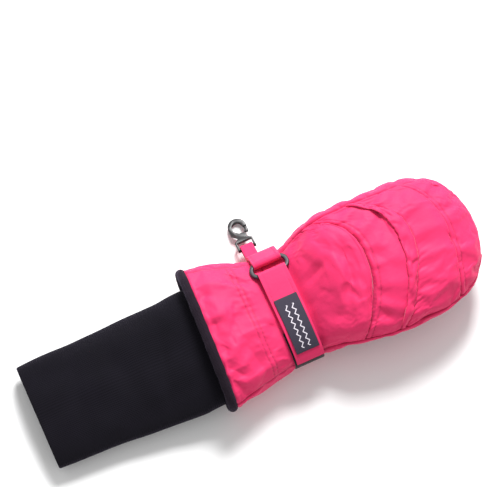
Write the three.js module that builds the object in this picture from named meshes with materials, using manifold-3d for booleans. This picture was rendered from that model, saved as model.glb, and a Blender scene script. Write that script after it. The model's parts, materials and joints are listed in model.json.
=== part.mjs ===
// A child's ski mitten for the right hand, with a long knitted cuff, lying palm down.
// Millimetres, +Z up, fingers towards +X, thumb on the +Y side. The hand part is drawn from its
// hem, x = 0, and the whole mitten is then moved so that the origin is below its middle.
import * as THREE from "three";
import { mergeVertices } from "three/addons/utils/BufferGeometryUtils.js";
import Module from "manifold-3d";

const wasm = await Module();
wasm.setup();

// ---- Driving dimensions ------------------------------------------------------------------

const GAP = 0.3; // between two pieces that touch
const SHELL = { out: 0, in: 0.8 }; // each layer's depth below the mitten's outer skin
const ELASTIC = { out: 1.1, in: 1.7 };
const INSERT = { out: 2.0, in: 2.4 };
const BATTING = { out: 2.8, in: 5.0 };
const LINING = { out: 5.4, in: 6.1 };
const THUMB_BATTING = { out: 1.1, in: 3.1 };
const THUMB_LINING = { out: 3.5, in: 4.2 };
const FACING = { out: 1.4, in: 2.1 };

const BINDING = { x: -1.3, roll: 3 };
const CUFF_END = -123; // where the knitted cuff's folded end lies
const CUFF_WALL = 2.2;
const CUFF_ROOT = { from: 12, to: 31 }; // the stretch of the cuff that is sewn in under the shell
const INNER_START = 34; // where the lining and the batting begin
const WRIST = 59; // under the middle of the strap
const GAUNTLET_END = 54;

const BACK = { from: 27, to: 168 }; // degrees round the section, from the thumb's side over the back
const GRIP = { from: 221, to: 350, start: 70, end: 207 }; // the grip patch on the palm

const STRAP_WIDTH = 20;
const WEB = 1.0; // thickness of the strap, its tapes and its loops
const RING = { bar: 1.4, length: 28, pitch: 10.2 }; // bar radius, outer length, bar to bar
const KEEPER = { from: WRIST - 9.5, width: 9 };
const CLIP = { thick: 3, bar: 1.3, width: 13 };
const THUMB_SWING = 40; // degrees that the thumb can swing out

const BASE_SHIFT = new THREE.Vector3(-37, -12.79, 0); // brings the origin under the middle

const rad = THREE.MathUtils.degToRad;
const lerp = THREE.MathUtils.lerp;

// ---- Soft limbs: rounded sections strung along X, closed by a rounded cap -------------------

// The value in column k at x, on a smooth curve through the rows; it runs level at both ends.
function track(rows, x, k) {
  let i = 0;
  while (i < rows.length - 2 && x > rows[i + 1][0]) i += 1;
  const slope = (n) =>
    n === 0 || n === rows.length - 1
      ? 0
      : (rows[n + 1][k] - rows[n - 1][k]) / (rows[n + 1][0] - rows[n - 1][0]);
  const span = rows[i + 1][0] - rows[i][0];
  const t = THREE.MathUtils.clamp((x - rows[i][0]) / span, 0, 1);
  const t2 = t * t;
  const t3 = t2 * t;
  return (
    (2 * t3 - 3 * t2 + 1) * rows[i][k] +
    (t3 - 2 * t2 + t) * span * slope(i) +
    (3 * t2 - 2 * t3) * rows[i + 1][k] +
    (t3 - t2) * span * slope(i + 1)
  );
}

const bulge = (v, power) => Math.sign(v) * Math.abs(v) ** (2 / power);

class Limb {
  // stations are rows of x, middle y, middle z, half width, half thickness, roll in degrees.
  constructor({ stations, square, cap }) {
    this.rows = stations;
    this.square = square; // 2 is an ellipse, more is squarer
    this.cap = cap;
    this.capStart = stations[stations.length - 1][0];
    this.end = cap ? this.capStart + cap.arc : this.capStart;
  }

  // The point at u along the limb and degrees round it, at a depth below the skin.
  // u is x itself along the limb, and an arc length over the cap.
  at(u, degrees, depth) {
    const x = Math.min(u, this.capStart);
    const turn = this.cap ? (Math.max(0, u - this.capStart) / this.cap.arc) * (Math.PI / 2) : 0;
    const reach = turn ? bulge(Math.sin(turn), this.cap.square) : 0;
    const shrink = turn ? bulge(Math.max(0, Math.cos(turn)), this.cap.square) : 1;
    const [y, z, halfWidth, halfThick, roll] = [1, 2, 3, 4, 5].map((k) => track(this.rows, x, k));
    const a = rad(degrees);
    const across = (halfWidth - depth) * shrink * bulge(Math.cos(a), this.square);
    const up = (halfThick - depth) * shrink * bulge(Math.sin(a), this.square);
    const r = rad(roll);
    const cap = this.cap ?? { length: 0, dy: 0, dz: 0 };
    return new THREE.Vector3(
      x + (turn ? (cap.length - depth) * reach : 0),
      y + cap.dy * reach + across * Math.cos(r) - up * Math.sin(r),
      z + cap.dz * reach + across * Math.sin(r) + up * Math.cos(r),
    );
  }
}

const hand = new Limb({
  square: 2.3,
  stations: [
    [0, 1.5, 21.6, 50, 20.5, 0],
    [22, 2, 21.2, 46, 19.8, 0],
    [44, 0.5, 19, 40, 17.5, 0],
    [WRIST, 0, 18.2, 37, 16.5, 0],
    [74, 0.8, 19.6, 38.5, 16.4, 0],
    [88, 1.2, 29.5, 43.2, 18, 3],
    [104, 0.2, 35, 46.4, 18.5, 5],
    [124, -1, 36, 47.8, 18.5, 6],
    [146, -0.8, 35.5, 46.6, 18, 6],
  ],
  cap: { length: 51, arc: 80, square: 2.4, dy: 2.4, dz: -5 },
});

const thumb = new Limb({
  square: 2.3,
  stations: [
    [62, 20, 15.2, 17, 9, 0],
    [76, 21, 10.7, 20, 9.5, 0],
    [95, 19, 8.85, 20, 8.6, 0],
    [118, 16, 8.55, 19, 8.3, 0],
    [135, 13.5, 8.45, 17.5, 8.2, 0],
  ],
  cap: { length: 24, arc: 36, square: 2.2, dy: -2, dz: 0 },
});

const cuff = new Limb({
  square: 2.3,
  stations: [
    [CUFF_END, 2, 10, 37.5, 10, 0],
    [-70, 1, 11.5, 39.5, 11, 0],
    [-26, -1, 15.2, 41.5, 12.2, 0],
    [-6, -1.5, 19.3, 42, 12.5, 0],
    [CUFF_ROOT.to, 1, 20.5, 39, 13, 0],
  ],
});

// ---- Meshes ------------------------------------------------------------------------------

const materials = {
  shell: { color: "#fb4478", roughness: 0.55, metalness: 0 },
  grip: { color: "#4a3b4e", roughness: 0.75, metalness: 0 },
  knit: { color: "#15131c", roughness: 0.95, metalness: 0 },
  binding: { color: "#2a1f29", roughness: 0.8, metalness: 0 },
  tape: { color: "#1b161c", roughness: 0.9, metalness: 0 },
  label: { color: "#2b2634", roughness: 0.7, metalness: 0 },
  plastic: { color: "#2d2631", roughness: 0.35, metalness: 0 },
  batting: { color: "#f2f0ec", roughness: 1, metalness: 0 },
  insert: { color: "#d9dde0", roughness: 0.4, metalness: 0 },
  lining: { color: "#242029", roughness: 1, metalness: 0 },
  elastic: { color: "#efece6", roughness: 0.9, metalness: 0 },
};
for (const name of Object.keys(materials)) {
  materials[name] = new THREE.MeshStandardMaterial(materials[name]);
}

// A closed geometry from loose triangles: shared corners merged, and faces pointing out.
function closed(triangles) {
  const flat = new THREE.BufferGeometry().setAttribute(
    "position",
    new THREE.Float32BufferAttribute(triangles.flat().flatMap((p) => p.toArray()), 3),
  );
  const merged = mergeVertices(flat, 1e-3);
  const point = (n) => new THREE.Vector3().fromBufferAttribute(merged.attributes.position, n);
  const faces = [];
  let volume = 0;
  for (let i = 0; i < merged.index.count; i += 3) {
    const [a, b, c] = [0, 1, 2].map((k) => merged.index.array[i + k]);
    if (a === b || b === c || c === a) continue; // a face that a pole squeezed flat
    faces.push(a, b, c);
    volume += point(a).dot(point(b).cross(point(c)));
  }
  if (volume < 0) faces.reverse();
  return merged.setIndex(faces);
}

// Two triangles for the corners a, b, c, d of a patch.
const quad = (a, b, c, d) => [
  [a, b, c],
  [a, c, d],
];

// A sheet with thickness. at(i, j, side) is a corner of its outer face (0) or inner face (1).
// It is joined up along j if round is true, and left with edges on all sides if not.
function sheet(rows, columns, at, round = false) {
  const corners = [0, 1].map((side) =>
    Array.from({ length: rows + 1 }, (_, i) =>
      Array.from({ length: columns + 1 }, (_, j) => at(i, round ? j % columns : j, side)),
    ),
  );
  const [outer, inner] = corners;
  const faces = [];
  for (let i = 0; i < rows; i += 1) {
    for (let j = 0; j < columns; j += 1) {
      faces.push(...quad(outer[i][j], outer[i][j + 1], outer[i + 1][j + 1], outer[i + 1][j]));
      faces.push(...quad(inner[i][j], inner[i + 1][j], inner[i + 1][j + 1], inner[i][j + 1]));
    }
  }
  for (let j = 0; j < columns; j += 1) {
    faces.push(...quad(outer[0][j], inner[0][j], inner[0][j + 1], outer[0][j + 1]));
    faces.push(...quad(outer[rows][j], outer[rows][j + 1], inner[rows][j + 1], inner[rows][j]));
  }
  for (let i = 0; i < rows && !round; i += 1) {
    faces.push(...quad(outer[i][0], outer[i + 1][0], inner[i + 1][0], inner[i][0]));
    faces.push(
      ...quad(outer[i][columns], inner[i][columns], inner[i + 1][columns], outer[i + 1][columns]),
    );
  }
  return closed(faces);
}

// Every layer has its corners at the same angles round the limb, so that neighbours never cross.
const STEP = 15;

function anglesBetween(from, to) {
  const whole = Array.from({ length: 720 / STEP + 1 }, (_, i) => i * STEP);
  return [from, ...whole.filter((a) => a > from + 2 && a < to - 2), to];
}

// Places along a limb from start to end, each a function of the share of the way round a panel.
function evenly(start, end, rows) {
  const value = (bound, share) => (typeof bound === "function" ? bound(share) : bound);
  return Array.from(
    { length: rows + 1 },
    (_, i) => (share) => lerp(value(start, share), value(end, share), i / rows),
  );
}

// A panel of a limb's layer, between two angles and through the given places along the limb.
function panel(limb, { layer, from, to, places, lift = 0 }) {
  const angles = anglesBetween(from, to);
  return sheet(places.length - 1, angles.length - 1, (i, j, side) => {
    const share = (angles[j] - from) / (to - from);
    const place = places[i];
    const u = typeof place === "function" ? place(share) : place;
    const p = limb.at(u, angles[j], side ? layer.in : layer.out);
    return p.setZ(p.z + lift);
  });
}

// A layer that goes all the way round a limb, through the given places along it.
function tube(limb, { layer, places }) {
  const columns = 360 / STEP;
  const at = (i, j, side) => {
    const u = typeof places[i] === "function" ? places[i](0) : places[i];
    return limb.at(u, STEP * j, side ? layer.in : layer.out);
  };
  return sheet(places.length - 1, columns, at, true);
}

// The solid inside a limb's skin at a depth, through the given places and on to its end.
function core(limb, depth, places, columns) {
  const rows = places.length;
  const ring = (i) => (j) => limb.at(places[i] ?? limb.end, (360 * (j % columns)) / columns, depth);
  const middle = ring(0)(0).lerp(ring(0)(columns / 2), 0.5);
  const faces = [];
  for (let j = 0; j < columns; j += 1) {
    faces.push([middle, ring(0)(j), ring(0)(j + 1)]);
    for (let i = 0; i < rows; i += 1) {
      faces.push(...quad(ring(i)(j), ring(i + 1)(j), ring(i + 1)(j + 1), ring(i)(j + 1)));
    }
  }
  return closed(faces);
}

// ---- Cutting -----------------------------------------------------------------------------

function solidOf(geometry) {
  const bare = geometry.clone();
  bare.deleteAttribute("normal");
  bare.deleteAttribute("uv");
  const merged = mergeVertices(bare, 1e-3);
  return new wasm.Manifold(
    new wasm.Mesh({
      numProp: 3,
      vertProperties: new Float32Array(merged.attributes.position.array),
      triVerts: new Uint32Array(merged.index.array),
    }),
  );
}

// The largest single body of a solid, as a geometry: a cut can leave crumbs.
function geometryOf(solid) {
  const body = solid.decompose().reduce((a, b) => (b.volume() > a.volume() ? b : a));
  const mesh = body.getMesh();
  const positions = new Float32Array(mesh.numVert * 3);
  for (let i = 0; i < mesh.numVert; i += 1) {
    positions.set(mesh.vertProperties.subarray(i * mesh.numProp, i * mesh.numProp + 3), i * 3);
  }
  return new THREE.BufferGeometry()
    .setAttribute("position", new THREE.BufferAttribute(positions, 3))
    .setIndex(new THREE.BufferAttribute(mesh.triVerts, 1));
}

const cut = (geometry, cutters) =>
  geometryOf(cutters.reduce((left, cutter) => left.subtract(cutter), solidOf(geometry)));

// ---- Ribbons: straps and loops, drawn as a line in the YZ plane and as wide as they are in X --

// The outline of a line of the given thickness.
function ribbonShape(line, thick) {
  const side = (sign) =>
    line.map((p, i) => {
      const before = line[Math.max(0, i - 1)];
      const after = line[Math.min(line.length - 1, i + 1)];
      const along = after.clone().sub(before).normalize();
      return new THREE.Vector2(p.x - (sign * along.y * thick) / 2, p.y + (sign * along.x * thick) / 2);
    });
  return new THREE.Shape([...side(1), ...side(-1).reverse()]);
}

// Extrudes a shape drawn in (y, z) along +X, from x to x + width.
function alongX(shape, x, width) {
  const extruded = new THREE.ExtrudeGeometry(shape, { depth: width, bevelEnabled: false });
  // The shape's own x, y and depth become y, z and x.
  const turn = new THREE.Matrix4().set(0, 0, 1, x, 1, 0, 0, 0, 0, 1, 0, 0, 0, 0, 0, 1);
  return solidGeometry(extruded.applyMatrix4(turn));
}

// A geometry with only merged positions, as every piece here has.
function solidGeometry(geometry) {
  geometry.deleteAttribute("normal");
  geometry.deleteAttribute("uv");
  return mergeVertices(geometry, 1e-3);
}

const ribbon = (line, x, width, thick = WEB) => alongX(ribbonShape(line, thick), x, width);

// The strap bridges the wrist: it follows this rounder section, outside the shell's own.
const strapSection = { y: 0.8, z: 19.2, halfWidth: 39.8, halfThick: 17.6 };

function strapPoint(degrees, lift) {
  const a = rad(degrees);
  return new THREE.Vector2(
    strapSection.y + (strapSection.halfWidth + lift) * bulge(Math.cos(a), hand.square),
    strapSection.z + (strapSection.halfThick + lift) * bulge(Math.sin(a), hand.square),
  );
}

function strapLine(from, to, lift, steps) {
  return Array.from({ length: steps + 1 }, (_, i) => strapPoint(lerp(from, to, i / steps), lift));
}

// Points on a circle in the YZ plane, from one angle in degrees to another.
function arc(centre, radius, from, to, steps) {
  return Array.from({ length: steps + 1 }, (_, i) => {
    const a = rad(lerp(from, to, i / steps));
    return new THREE.Vector2(centre.x + radius * Math.cos(a), centre.y + radius * Math.sin(a));
  });
}

// The direction from one point to another, in degrees.
const direction = (a, b) => THREE.MathUtils.radToDeg(Math.atan2(b.y - a.y, b.x - a.x));

// Where, in degrees round a circle, a straight line from a point outside just touches it.
// side is +1 or -1 for the one or the other of the two such places.
function touching(centre, radius, point, side) {
  const spread = THREE.MathUtils.radToDeg(Math.acos(radius / centre.distanceTo(point)));
  return direction(centre, point) + side * spread;
}

// ---- The mitten --------------------------------------------------------------------------

const mitten = new THREE.Group();

function add(name, material, geometry) {
  const mesh = new THREE.Mesh(geometry, materials[material]);
  mesh.name = name;
  mitten.add(mesh);
  return mesh;
}

// The cross seams on the back, as places along the hand for a share of the way round the back.
// Each rises in an arch whose top lies on the thumb's half.
const arched = (thumbEnd, littleEnd, rise) => (share) =>
  lerp(thumbEnd, littleEnd, share) + rise * Math.sin(Math.PI * share ** 0.7) ** 1.5;
const seams = {
  gauntlet: () => GAUNTLET_END,
  knuckle: arched(93, 97, 24),
  pleat: arched(121, 123, 25),
  tip: arched(155, 165, 16),
};
const EDGE = GAP / 2;
const after = (seam, extra = 0) => (share) => seam(share) + EDGE + extra;
const before = (seam, extra = 0) => (share) => seam(share) - EDGE - extra;

// Places along the hand that the panels on both sides of a lengthways seam share.
const ALONG = [GAUNTLET_END + EDGE, 62, 70, 78, 86, 94, 104, 116, 130, 146, 159, 172, 184, 196];
const SEAM = 0.5; // degrees from a lengthways seam to the panel's edge

function addBackPanels() {
  const [from, to] = [BACK.from + SEAM, BACK.to - SEAM];
  const lower = ALONG.slice(0, 5);
  const pieces = [
    ["gauntlet_back", evenly(2.2, before(seams.gauntlet), 4)],
    ["hand_back", [...lower.slice(0, -1), ...evenly(lower[4], before(seams.knuckle), 4)]],
    ["knuckle_panel", evenly(after(seams.knuckle), before(seams.pleat), 5)],
    ["finger_panel", evenly(after(seams.pleat), before(seams.tip), 4)],
    ["tip_panel", evenly(after(seams.tip), hand.end, 5)],
  ];
  for (const [name, places] of pieces) {
    const lift = name === "tip_panel" ? EDGE : 0;
    add(name, "shell", panel(hand, { layer: SHELL, from, to, places, lift }));
  }
  // The folded edge of the finger panel, which laps over the knuckle panel.
  const fold = { out: -1.4, in: -GAP };
  const places = evenly(before(seams.pleat, 3), after(seams.pleat, 3), 1);
  add("knuckle_pleat", "shell", panel(hand, { layer: fold, from: from + 4, to: to - 4, places }));
}

// What the thumb's hollow opens in the palm.
const thumbHollow = [62, 76, 90, 104, 118, 135, 148, 160];
const thumbWay = solidOf(core(thumb, THUMB_LINING.in, thumbHollow, 16));

function addPalmPanels() {
  const round = 360 + BACK.from;
  const heel = ALONG.slice(0, 3);
  const sides = [...ALONG, GRIP.end - EDGE];
  const grip = [GRIP.start + EDGE, ...sides.slice(3)];
  heel[2] -= EDGE;
  const pieces = [
    ["gauntlet_palm", "shell", BACK.to, round, evenly(2.2, GAUNTLET_END - EDGE, 4), 0],
    ["palm_heel", "shell", GRIP.from, GRIP.to, heel, 0],
    ["side_little_finger", "shell", BACK.to, GRIP.from, sides, 0],
    ["side_first_finger", "shell", GRIP.to, round, sides, 0],
    ["palm_grip", "grip", GRIP.from, GRIP.to, grip, 0],
    ["palm_tip", "shell", BACK.to, round, evenly(GRIP.end + 1.5, hand.end, 2), -EDGE],
  ];
  for (const [name, material, from, to, places, lift] of pieces) {
    const edges = { from: from + SEAM, to: to - SEAM };
    const flat = panel(hand, { ...edges, layer: SHELL, places, lift });
    add(name, material, cut(flat, [thumbWay]));
  }
}

function addInnerLayers() {
  const places = [INNER_START, 44, ...ALONG, 208, hand.end];
  const insert = tube(hand, { layer: INSERT, places });
  add("waterproof_insert", "insert", cut(insert, [thumbWay]));
  add("lining", "lining", cut(tube(hand, { layer: LINING, places }), [thumbWay]));
  const half = { layer: BATTING, places };
  add("batting_back", "batting", panel(hand, { ...half, from: 0, to: 180, lift: EDGE }));
  const palm = panel(hand, { ...half, from: 180, to: 360, lift: -EDGE });
  add("batting_palm", "batting", cut(palm, [thumbWay]));
}

// The hand's own solid, turned back through the thumb's swing: what the thumb must clear.
const thumbHinge = new THREE.Vector3(76, 22, 9);

function handAtSwing(degrees) {
  const body = core(hand, -GAP - 0.3, ALONG, 360 / STEP);
  return solidOf(
    body
      .translate(-thumbHinge.x, -thumbHinge.y, 0)
      .rotateZ(rad(-degrees))
      .translate(thumbHinge.x, thumbHinge.y, 0),
  );
}

function addThumb() {
  const steps = 4;
  const clear = Array.from({ length: steps }, (_, i) => handAtSwing((THUMB_SWING * i) / (steps - 1)));
  const places = evenly(70, thumb.end, 9);
  const half = { layer: SHELL, places };
  const top = panel(thumb, { ...half, from: 0, to: 180, lift: EDGE });
  const under = panel(thumb, { ...half, from: 180, to: 360, lift: -EDGE });
  add("thumb_inner_panel", "shell", cut(top, clear));
  add("thumb_outer_panel", "shell", cut(under, clear));
  add("thumb_batting", "batting", cut(tube(thumb, { layer: THUMB_BATTING, places }), clear));
  add("thumb_lining", "lining", cut(tube(thumb, { layer: THUMB_LINING, places }), clear));
}

function addGauntletInside() {
  const places = evenly(2.2, INNER_START - 2, 3);
  add("gauntlet_facing", "lining", tube(hand, { layer: FACING, places }));
  // Shirring elastic on the palm's side of the wrist.
  const shirring = { layer: ELASTIC, from: 195, to: 345, places: [56, 62] };
  add("wrist_elastic", "elastic", panel(hand, shirring));
}

// The bound edge of the hem, a soft roll round the opening, pressed flat where it meets the floor.
function addHemBinding() {
  const [around, section] = [32, 8];
  const middle = (j) => hand.at(0, (360 * j) / around, 1).setX(BINDING.x);
  const at = (j, k) => {
    const along = middle(j + 1).sub(middle(j - 1)).normalize();
    const outward = new THREE.Vector3(0, along.z, -along.y);
    const a = (2 * Math.PI * ((k % section) + 0.5)) / section;
    const p = middle(j).addScaledVector(outward, BINDING.roll * Math.cos(a));
    return new THREE.Vector3(p.x + BINDING.roll * Math.sin(a), p.y, Math.max(0, p.z));
  };
  const faces = [];
  for (let j = 0; j < around; j += 1) {
    for (let k = 0; k < section; k += 1) {
      faces.push(...quad(at(j, k), at(j + 1, k), at(j + 1, k + 1), at(j, k + 1)));
    }
  }
  add("hem_binding", "binding", closed(faces));
}

function addKnitCuff() {
  const layer = { out: 0, in: CUFF_WALL };
  const sleeve = evenly(CUFF_END, 0, 7);
  add("cuff_sleeve", "knit", tube(cuff, { layer, places: sleeve }));
  const root = evenly(CUFF_ROOT.from, CUFF_ROOT.to, 2);
  add("cuff_root", "knit", tube(cuff, { layer, places: root }));
}

// ---- Wrist strap -------------------------------------------------------------------------

const strapX = WRIST - STRAP_WIDTH / 2;
const lap = WEB + GAP; // one layer of webbing and the space below the next

// The ring lies on the thumb's side of the back. The strap turns round its inner bar, and the
// anchor loop holds its outer bar.
const barLift = GAP * 2 + WEB + RING.bar;
const turnRadius = RING.bar + GAP + WEB / 2;
const innerBar = strapPoint(62, barLift);
const outerBar = (() => {
  const towards = strapPoint(37, barLift).sub(innerBar);
  return innerBar.clone().addScaledVector(towards.normalize(), RING.pitch);
})();
const ringTilt = direction(innerBar, outerBar);

function addStrapRing() {
  const halfSpan = RING.length / 2 - RING.bar;
  // One round bar bent into a rectangle with rounded corners, drawn flat in X and Y.
  const bend = 2.4;
  const corner = (x, y, from) =>
    Array.from({ length: 4 }, (_, i) => {
      const a = rad(from + 30 * i);
      return new THREE.Vector3(x + bend * Math.cos(a), y + bend * Math.sin(a), 0);
    });
  const [w, h] = [halfSpan - bend, RING.pitch / 2 - bend];
  const line = [...corner(w, h, 0), ...corner(-w, h, 90), ...corner(-w, -h, 180), ...corner(w, -h, 270)];
  const section = 8;
  const at = (i, k) => {
    const n = line.length;
    const p = line[i % n];
    const along = line[(i + 1) % n].clone().sub(line[(i + n - 1) % n]).normalize();
    const out = new THREE.Vector3(along.y, -along.x, 0);
    const a = (2 * Math.PI * (k % section)) / section;
    return p.clone().addScaledVector(out, RING.bar * Math.cos(a)).setZ(RING.bar * Math.sin(a));
  };
  const faces = [];
  line.forEach((_, i) => {
    for (let k = 0; k < section; k += 1) {
      faces.push(...quad(at(i, k), at(i + 1, k), at(i + 1, k + 1), at(i, k + 1)));
    }
  });
  const ring = add("strap_ring", "plastic", closed(faces));
  const middle = innerBar.clone().lerp(outerBar, 0.5);
  ring.position.set(WRIST, middle.x, middle.y);
  ring.rotation.x = rad(ringTilt);
}

function addStrap() {
  const first = GAP + WEB / 2; // how high the middle of each layer lies
  const hook = first + lap;
  const top = hook + lap;
  // The lower layer is sewn down on the back of the wrist and stops short of the ring.
  add("strap_base", "shell", ribbon(strapLine(75, 112, first, 6), strapX, STRAP_WIDTH));
  // The landing tape goes on round the little finger's side.
  const landing = strapLine(115, 196, first, 12);
  add("loop_tape", "tape", ribbon(landing, strapX - 1, STRAP_WIDTH + 1));
  // The upper layer starts under the ring's inner bar, turns round it and lies back on the strap.
  const back = strapLine(84, 159, top, 11);
  const leave = touching(innerBar, turnRadius, back[0], -1);
  const turn = arc(innerBar, turnRadius, ringTilt - 85, leave, 9);
  add("strap_tab", "shell", ribbon([...turn, ...back], strapX, STRAP_WIDTH));
  add("hook_tape", "tape", ribbon(strapLine(118, 156, hook, 8), strapX + 0.5, STRAP_WIDTH - 1));
  const thin = 0.6;
  const badge = strapLine(88, 141, top + (WEB + thin) / 2 + GAP, 8);
  add("woven_label", "label", ribbon(badge, strapX + 2, STRAP_WIDTH - 3.5, thin));
}

// The band that holds the ring: from the thumb's side seam over the ring's outer bar, round it,
// and back below it to the seam.
function addRingAnchor() {
  const first = GAP + WEB / 2;
  const over = strapLine(-8, 22, first + lap, 5);
  const under = strapLine(28, -8, first, 6);
  const arrive = touching(outerBar, turnRadius, over[over.length - 1], 1);
  const leave = touching(outerBar, turnRadius, under[0], -1) + 360;
  const turn = arc(outerBar, turnRadius, arrive, leave, 14);
  add("ring_anchor", "shell", ribbon([...over, ...turn, ...under], strapX, STRAP_WIDTH));
}

// ---- Keeper loop and clip ----------------------------------------------------------------

const clipBar = new THREE.Vector2(52.5, 7.4); // y and z of the bar that the keeper loop holds
const clipTilt = -14.2; // degrees: the clip slopes down to rest its tip

function addKeeperLoop() {
  const radius = CLIP.bar + GAP + WEB / 2;
  const [over, under] = [new THREE.Vector2(41.3, 15), new THREE.Vector2(40.6, 12.2)];
  const arrive = touching(clipBar, radius, over, -1);
  const leave = touching(clipBar, radius, under, 1) - 360;
  const turn = arc(clipBar, radius, arrive, leave, 12);
  add("keeper_loop", "shell", ribbon([over, ...turn, under], KEEPER.from, KEEPER.width));
}

function addClip() {
  const half = CLIP.width / 2;
  // Drawn with the eye's bar on the x axis and the clip's length along +y.
  const eyeInner = { halfX: KEEPER.width / 2 + 0.8, y: 5.4 };
  const hookMiddle = 17.2;
  const [outer, inner] = [half, half - 2.7];
  const outline = new THREE.Shape();
  outline.moveTo(-half, 0);
  outline.lineTo(-half, eyeInner.y + 0.5);
  outline.lineTo(-3.4, eyeInner.y + 2.6);
  outline.lineTo(-3.4, hookMiddle - 7);
  outline.lineTo(-outer, hookMiddle - 4.2);
  outline.absarc(0, hookMiddle, outer, Math.PI, 0, true);
  outline.lineTo(outer, hookMiddle - 1.2);
  outline.lineTo(inner + 0.3, hookMiddle - 1.2);
  outline.lineTo(inner, hookMiddle);
  outline.absarc(0, hookMiddle, inner, 0, Math.PI, false);
  outline.lineTo(-inner, hookMiddle - 2.6);
  outline.lineTo(-0.6, hookMiddle - 5.6);
  outline.lineTo(2.2, hookMiddle - 5.6);
  outline.lineTo(3.4, hookMiddle - 7);
  outline.lineTo(3.4, eyeInner.y + 2.6);
  outline.lineTo(half, eyeInner.y + 0.5);
  outline.lineTo(half, 0);
  outline.lineTo(eyeInner.halfX, 0);
  outline.lineTo(eyeInner.halfX, eyeInner.y);
  outline.lineTo(-eyeInner.halfX, eyeInner.y);
  outline.lineTo(-eyeInner.halfX, 0);
  const plate = new THREE.ExtrudeGeometry(outline, {
    depth: CLIP.thick,
    bevelEnabled: false,
    curveSegments: 10,
  });
  plate.translate(0, 0, -CLIP.thick / 2);
  const rod = new THREE.CylinderGeometry(CLIP.bar, CLIP.bar, CLIP.width, 12).rotateZ(Math.PI / 2);
  const cheeks = [-1, 1].map((side) =>
    new THREE.CylinderGeometry(CLIP.thick / 2, CLIP.thick / 2, half - eyeInner.halfX, 12)
      .rotateZ(Math.PI / 2)
      .translate((side * (half + eyeInner.halfX)) / 2, 0, 0),
  );
  const whole = [rod, ...cheeks].reduce(
    (joined, piece) => joined.add(solidOf(piece)),
    solidOf(plate),
  );

  const clip = new THREE.Group();
  clip.position.set(KEEPER.from + KEEPER.width / 2, clipBar.x, clipBar.y);
  clip.rotation.x = rad(clipTilt);
  mitten.add(clip);

  const body = add("clip_body", "plastic", geometryOf(whole));
  // The gate closes the hook's mouth, from its pin beside the neck to the hook's nose.
  const gateShape = new THREE.Shape();
  gateShape.moveTo(3.1, hookMiddle - 5.2);
  gateShape.lineTo(5.6, hookMiddle - 5.9);
  gateShape.lineTo(6.4, hookMiddle - 4.8);
  gateShape.lineTo(6.3, hookMiddle - 1.6);
  gateShape.lineTo(4.3, hookMiddle - 1.6);
  gateShape.lineTo(4.2, hookMiddle - 3.9);
  const gate = add(
    "clip_gate",
    "plastic",
    solidGeometry(
      new THREE.ExtrudeGeometry(gateShape, { depth: 2.2, bevelEnabled: false }).translate(0, 0, -1.1),
    ),
  );
  clip.add(body, gate);
}

addBackPanels();
addPalmPanels();
addInnerLayers();
addThumb();
addGauntletInside();
addHemBinding();
addKnitCuff();
addStrapRing();
addStrap();
addRingAnchor();
addKeeperLoop();
addClip();

mitten.position.copy(BASE_SHIFT);

export default mitten;
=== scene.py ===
# %% [markdown]
# # A child's padded ski mitten
#
# The mitten lies palm down: a bright nylon shell filled with soft fibre, a long knitted cuff that
# comes out of its hem, a strap round the wrist, and a clip on a small loop. The engineering model
# has already fixed where everything is and what turns, so the first step loads it as a frame, and
# every piece made here is placed from what that frame measures.

# %% Load the frame
import json
import math

import bmesh
import bpy
import numpy as np
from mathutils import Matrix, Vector, noise


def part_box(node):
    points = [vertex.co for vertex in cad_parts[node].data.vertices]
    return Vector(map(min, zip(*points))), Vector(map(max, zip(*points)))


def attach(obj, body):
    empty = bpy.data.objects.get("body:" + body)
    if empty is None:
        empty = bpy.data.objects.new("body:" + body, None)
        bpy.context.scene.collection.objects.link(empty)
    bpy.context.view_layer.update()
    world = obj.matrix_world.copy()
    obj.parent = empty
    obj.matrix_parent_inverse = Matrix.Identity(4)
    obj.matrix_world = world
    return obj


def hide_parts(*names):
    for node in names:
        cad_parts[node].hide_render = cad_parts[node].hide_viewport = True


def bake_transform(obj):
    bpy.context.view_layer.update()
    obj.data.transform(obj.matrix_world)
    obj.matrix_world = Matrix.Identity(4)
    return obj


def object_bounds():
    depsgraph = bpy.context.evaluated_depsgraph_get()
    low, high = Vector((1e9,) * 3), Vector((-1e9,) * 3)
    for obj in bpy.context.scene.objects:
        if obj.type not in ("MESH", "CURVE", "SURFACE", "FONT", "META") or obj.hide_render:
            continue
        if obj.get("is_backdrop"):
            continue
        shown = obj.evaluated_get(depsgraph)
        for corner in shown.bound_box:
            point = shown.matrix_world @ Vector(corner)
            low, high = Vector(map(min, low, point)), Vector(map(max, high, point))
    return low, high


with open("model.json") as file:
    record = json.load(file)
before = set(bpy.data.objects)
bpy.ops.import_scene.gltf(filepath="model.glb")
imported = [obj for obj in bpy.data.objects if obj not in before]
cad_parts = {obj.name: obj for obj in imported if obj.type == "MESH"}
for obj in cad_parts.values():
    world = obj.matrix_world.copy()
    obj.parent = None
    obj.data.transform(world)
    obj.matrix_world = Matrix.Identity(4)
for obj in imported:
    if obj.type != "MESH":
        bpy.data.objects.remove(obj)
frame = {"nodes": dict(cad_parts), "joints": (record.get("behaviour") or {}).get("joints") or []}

cad_box = [list(corner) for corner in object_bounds()]
MM = 0.001

# %% [markdown]
# Lengths are easiest to think of in millimetres, so the helpers below read the frame's nodes in
# millimetres, and meshes are turned into metres only when they are made. A fresh mesh made from
# arrays of corners is right for cloth, where each corner's place comes from a formula or from a
# simulation.

# %% Small helpers
def deselect():
    bpy.ops.object.select_all(action="DESELECT")


def low(node):
    return np.array(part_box(node)[0]) / MM


def high(node):
    return np.array(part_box(node)[1]) / MM


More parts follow.
